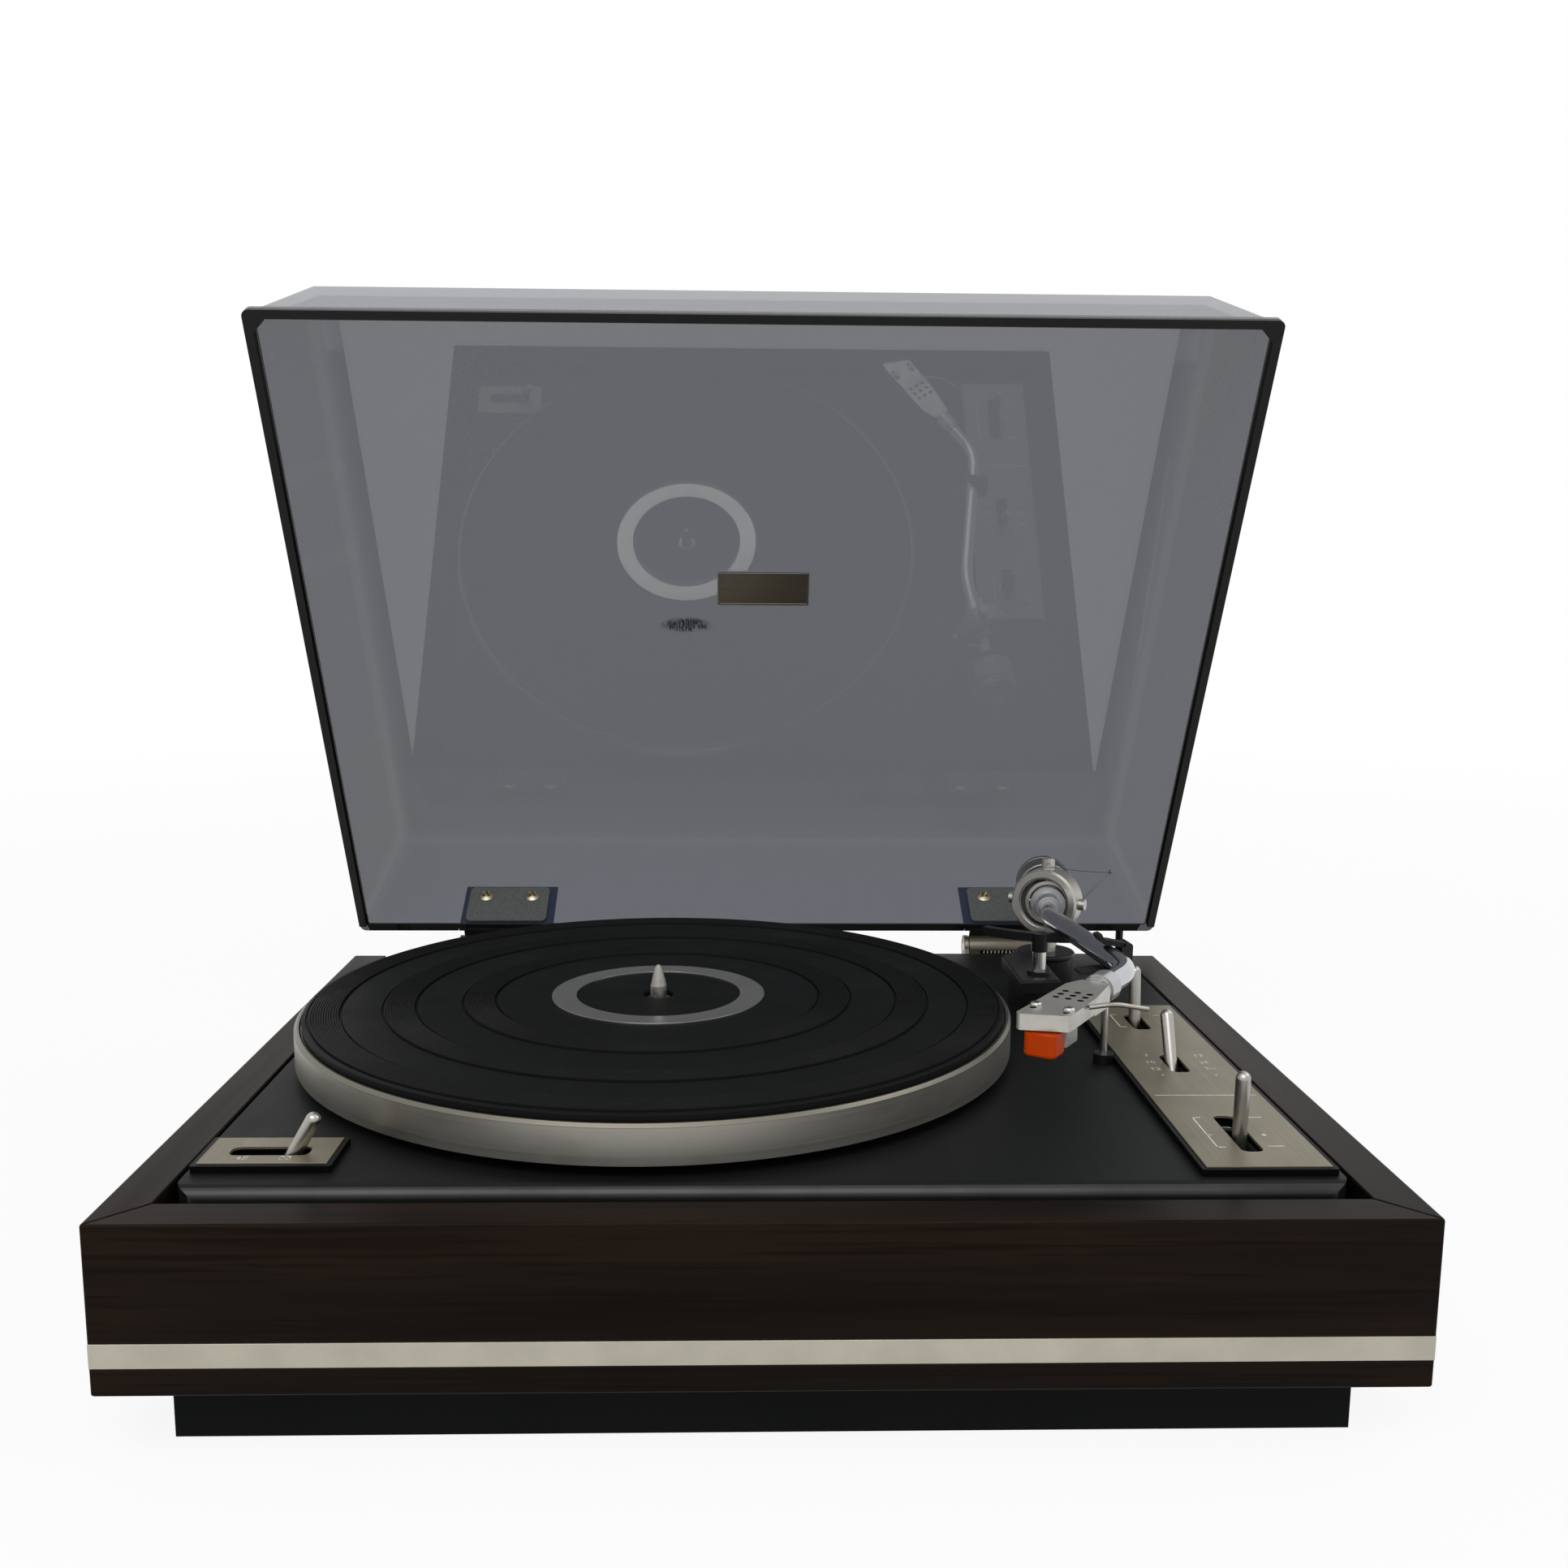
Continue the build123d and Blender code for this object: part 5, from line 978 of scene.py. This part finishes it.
class TURNTABLE_OT_platter(bpy.types.Operator):
    """Turns the platter, the ribbed mat, the label ring and the spindle"""

    bl_idname = "turntable.platter"
    bl_label = "Platter"

    def execute(self, context):
        finish = context.scene.turntable_finish
        centre = Vector((PLATTER_AT.x, PLATTER_AT.y, 0))
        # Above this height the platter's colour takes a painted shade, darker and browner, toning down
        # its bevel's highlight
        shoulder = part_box("platter")[1].z - 1.4 * MM
        soften("platter", 0.3, turned(
            "platter_metal", (0.35, 0.335, 0.3), 0.37, centre, shoulder
        ), angle=25)
        mat = lathe(
            "ribbed_mat", mat_profile(finish.rib_count), centre, UP, finish.lathe_steps,
            "platter", "mat_rubber", rubber("mat_rubber", (0.0044, 0.0048, 0.0046), 0.55), 20,
        )
        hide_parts("rubber_mat")
        soften("label_ring", 0.05, turned("ring_metal", (0.6, 0.59, 0.55), 0.27, centre))
        dress("spindle", chrome("spindle_chrome", (0.36, 0.35, 0.32), 0.3))
        return {"FINISHED"}


class TURNTABLE_OT_arm(bpy.types.Operator):
    """Finishes the tonearm, its rest and its lifter"""

    bl_idname = "turntable.arm"
    bl_label = "Tonearm"

    def execute(self, context):
        black = painted(
            "arm_black", (0.006, 0.006, 0.0065), 0.32, grain=1500.0, depth=0.02 * MM
        )
        for node in ("arm_base", "arm_pillar"):
            soften(node, 0.4, black)
        for node in ("rest_clip", "lifter_bar"):
            soften(node, 0.25, black)
        matt = Finish((0.005, 0.005, 0.0055), 0.3, 0.0)
        bright = Finish((0.62, 0.61, 0.6), 0.16, 1.0)
        post_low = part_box("arm_rest")[0].z + 4.6 * MM
        post_high = PIVOT_AT.z - 9.5 * MM
        soften("arm_rest", 0.25, two_part("rest_post", post_low, post_high, bright, matt))
        lifter_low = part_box("lifter_tube")[0].z + 1.55 * MM
        dress("lifter_tube", two_part("lifter_post", lifter_low, PIVOT_AT.z, bright, matt))
        dress("force_dial", black)
        ring_metal = satin("ring_satin", (0.46, 0.445, 0.41), 0.34, 0.8)
        soften("gimbal_ring", 0.14, ring_metal)
        soften("gimbal_inner", 0.15, ring_metal)
        sleeve_metal = satin("sleeve_satin", (0.46, 0.465, 0.48), 0.28, 0.85)
        dress("pivot_head", ring_metal)
        for node in ("bearing_sleeve", "locking_collar"):
            dress(node, sleeve_metal)
        dress("arm_tube", chrome("tube_chrome", (0.5, 0.51, 0.535), 0.12))
        dress("cartridge_screws", chrome("screw_chrome", (0.5, 0.49, 0.46), 0.22))
        dress("finger_lift", satin("lift_satin", (0.34, 0.33, 0.3), 0.3))
        dress("side_thrust_wire", satin("wire_steel", (0.12, 0.12, 0.12), 0.35))
        soften("counterweight", 0.3, brushed(
            "weight_metal", (0.2, 0.2, 0.2), 0.3, (300.0, 300.0, 300.0)
        ))
        vent_middle, vent_pitch, vent_reach = 62, 4.8, 1.6
        vents = [
            shell_point(vent_middle + row * vent_pitch, column * vent_pitch)
            for row in (-1, 0, 1) for column in (-1, 0, 1)
        ]
        shell_metal = satin("shell_satin", (0.5, 0.485, 0.445), 0.36, 0.75)
        # Near-black painted shade for the vents' walls, standing in for the shade inside the holes
        vent_shade = rubber("vent_shade", (0.004, 0.004, 0.004))
        soften(
            "headshell", 0.8, shell_metal, steps=3,
            fine_near=vents, reach=vent_reach * MM, hole_shade=vent_shade,
        )
        soften("cartridge_body", 0.3, clear_plastic("cartridge_clear", (0.3, 0.3, 0.29), 0.8))
        soften("stylus_unit", 0.4, clear_plastic(
            "stylus_orange", (0.5, 0.045, 0.0005), 0.97, roughness=0.2, gloss=0.06
        ))
        pin = middle("pivot_head") + ARM_FORWARD * (7.5 * MM)
        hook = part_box("side_thrust_wire")[1] - Vector((0.9, 1.5, 0.9)) * MM
        steps, sag = 12, 0.8
        points = [
            pin.lerp(hook, step / steps) - UP * (sag * MM * math.sin(math.pi * step / steps))
            for step in range(steps + 1)
        ]
        thread = tube("side_thrust_thread", points, 0.12, None, "dial_black", black)
        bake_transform(thread)
        return {"FINISHED"}


class TURNTABLE_OT_cover(bpy.types.Operator):
    """Finishes the smoked cover, its strip, badge plate and hinges"""

    bl_idname = "turntable.cover"
    bl_label = "Dust cover"

    def execute(self, context):
        soften("dust_cover", 0.5, smoked_acrylic("smoked_acrylic"))
        black = painted(
            "strip_black", (0.004, 0.004, 0.0045), 0.35, grain=1200.0, depth=0.03 * MM
        )
        soften("cover_edge_strip", 0.3, black)
        soften("badge_plate", 0.15, rimmed(
            "badge_metal", (0.15, 0.13, 0.095), (0.2, 0.2, 0.205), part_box("badge_plate"), -LID_BACK
        ))
        bronze = (0.2, 0.175, 0.14)
        soften("hinge_brackets", 0.2, painted(
            "hinge_bronze", bronze, 0.38, grain=1600.0, depth=0.05 * MM,
            strength=0.35, metallic=0.9,
        ))
        soften("hinge_leaves", 0.2, two_part(
            "leaf_finish", HINGE_AT.z - 8 * MM, HINGE_AT.z + 7 * MM,
            Finish(bronze, 0.4, 0.8), Finish((0.004, 0.004, 0.005), 0.4, 0.0),
        ))
        dress("hinge_springs", chrome("spring_steel", (0.5, 0.5, 0.48), 0.25))
        soften("clamp_plates", 0.2, painted(
            "clamp_grey", (0.12, 0.126, 0.124), 0.45, grain=900.0, depth=0.02 * MM
        ))
        trim("clamp_plates", WALL_RISE, sides=1.6 * MM, top=3.3 * MM)
        nickel = satin("screw_nickel", (0.42, 0.375, 0.27), 0.36)
        cross_screws("hinge_screws", WALL_INWARD, nickel)
        soften("lid_stop_post", 0.3, black)
        return {"FINISHED"}


class TURNTABLE_OT_stage(bpy.types.Operator):
    """Makes the floor, the light and the camera"""

    bl_idname = "turntable.stage"
    bl_label = "Stage"

    def execute(self, context):
        stage = context.scene.turntable_stage
        self.floor(context.scene)
        self.room(context.scene, stage.room_light)
        self.lamps(context.scene)
        self.camera(context.scene, stage)
        context.scene.view_settings.view_transform = "Standard"
        return {"FINISHED"}

    def floor(self, scene):
        """A wide floor just under the object."""
        half_size, drop = 6.0, 0.0002
        form = bmesh.new()
        bmesh.ops.create_grid(form, x_segments=1, y_segments=1, size=half_size)
        mesh = bpy.data.meshes.new("floor")
        form.to_mesh(mesh)
        form.free()
        mesh.materials.append(self.floor_finish())
        floor = bpy.data.objects.new("floor", mesh)
        floor.location.z = -drop
        scene.collection.objects.link(floor)

    def floor_finish(self):
        """A pale floor that the camera, gloss and glass see white, apart from the shadow."""
        paint = Paint("floor_pale", (0.9, 0.9, 0.9), 0.9)
        paper = paint.noise(paint.place(), scale=40.0)
        paint.vary(paper, 0.85, 0.95)
        glow = paint.node("ShaderNodeEmission", None, {"Color": shade(1, 1, 1), "Strength": 1.0})
        far = paint.spread(paint.reach(paint.place()), 0.6, 2.2, 0.9, 1.0)
        lit = Tap(paint, paint.shader.outputs[0])
        inputs = {0: paint.background() * far, 1: lit, 2: glow}
        mixed = paint.node("ShaderNodeMixShader", None, inputs)
        paint.join(mixed, paint.tree.nodes["Material Output"].inputs["Surface"])
        return paint.material

    def room(self, scene, strength):
        """An even room light that the camera, gloss and glass see as white."""
        scene.world = bpy.data.worlds.new("room")
        scene.world.use_nodes = True
        nodes = Nodes(scene.world.node_tree)
        sky = nodes.tree.nodes["Background"]
        nodes.join(shade(1, 1, 1), sky.inputs["Color"])
        nodes.join(nodes.spread(nodes.background(), 0, 1, strength, 1.0), sky.inputs["Strength"])

    def lamps(self, scene):
        """Two soft lamps that face the object."""
        aim = Vector((0, 0, 0.1))
        for name, place, size, power in LAMPS:
            light = bpy.data.lights.new(name, "AREA")
            light.shape = "RECTANGLE"
            light.size, light.size_y = size
            light.energy = power
            lamp = bpy.data.objects.new(name, light)
            lamp.location = place
            lamp.rotation_euler = (aim - Vector(place)).to_track_quat("-Z", "Y").to_euler()
            scene.collection.objects.link(lamp)

    def camera(self, scene, stage):
        """The camera at the photograph's place."""
        data = bpy.data.cameras.new("camera")
        data.lens = stage.lens
        data.sensor_width = 36.0
        data.shift_x, data.shift_y = stage.shift
        camera = bpy.data.objects.new("camera", data)
        scene.collection.objects.link(camera)
        cos_yaw, sin_yaw = math.cos(stage.yaw), math.sin(stage.yaw)
        cos_pitch, sin_pitch = math.cos(stage.pitch), math.sin(stage.pitch)
        forward = Vector((sin_yaw * cos_pitch, cos_yaw * cos_pitch, sin_pitch))
        level_right = Vector((cos_yaw, -sin_yaw, 0))
        level_up = level_right.cross(forward)
        right = level_right * math.cos(stage.roll) + level_up * math.sin(stage.roll)
        up = level_up * math.cos(stage.roll) - level_right * math.sin(stage.roll)
        turn = Matrix((right, up, -forward)).transposed()
        camera.matrix_world = Matrix.Translation(Vector(stage.eye)) @ turn.to_4x4()
        scene.camera = camera


OPERATORS = (
    TURNTABLE_OT_case,
    TURNTABLE_OT_deck,
    TURNTABLE_OT_platter,
    TURNTABLE_OT_arm,
    TURNTABLE_OT_cover,
    TURNTABLE_OT_stage,
)


class TURNTABLE_PT_panel(bpy.types.Panel):
    """Lists the turntable's steps"""

    bl_idname = "TURNTABLE_PT_panel"
    bl_label = "Turntable"
    bl_space_type = "VIEW_3D"
    bl_region_type = "UI"
    bl_category = "Turntable"

    def draw(self, context):
        for operator in OPERATORS:
            self.layout.operator(operator.bl_idname)
        for name in TurntableFinish.__annotations__:
            self.layout.prop(context.scene.turntable_finish, name)
        for name in TurntableStage.__annotations__:
            self.layout.prop(context.scene.turntable_stage, name)


CLASSES = (TurntableFinish, TurntableStage, *OPERATORS, TURNTABLE_PT_panel)


def register():
    """Adds the add-on's classes and its settings on the scene."""
    for item in CLASSES:
        bpy.utils.register_class(item)
    bpy.types.Scene.turntable_finish = bpy.props.PointerProperty(type=TurntableFinish)
    bpy.types.Scene.turntable_stage = bpy.props.PointerProperty(type=TurntableStage)


def unregister():
    """Takes the settings and the classes away again."""
    del bpy.types.Scene.turntable_finish
    del bpy.types.Scene.turntable_stage
    for item in reversed(CLASSES):
        bpy.utils.unregister_class(item)


def main():
    """Builds the whole look."""
    register()
    bpy.ops.turntable.case()
    bpy.ops.turntable.deck()
    bpy.ops.turntable.platter()
    bpy.ops.turntable.arm()
    bpy.ops.turntable.cover()
    bpy.ops.turntable.stage()


if __name__ == "__main__":
    main()
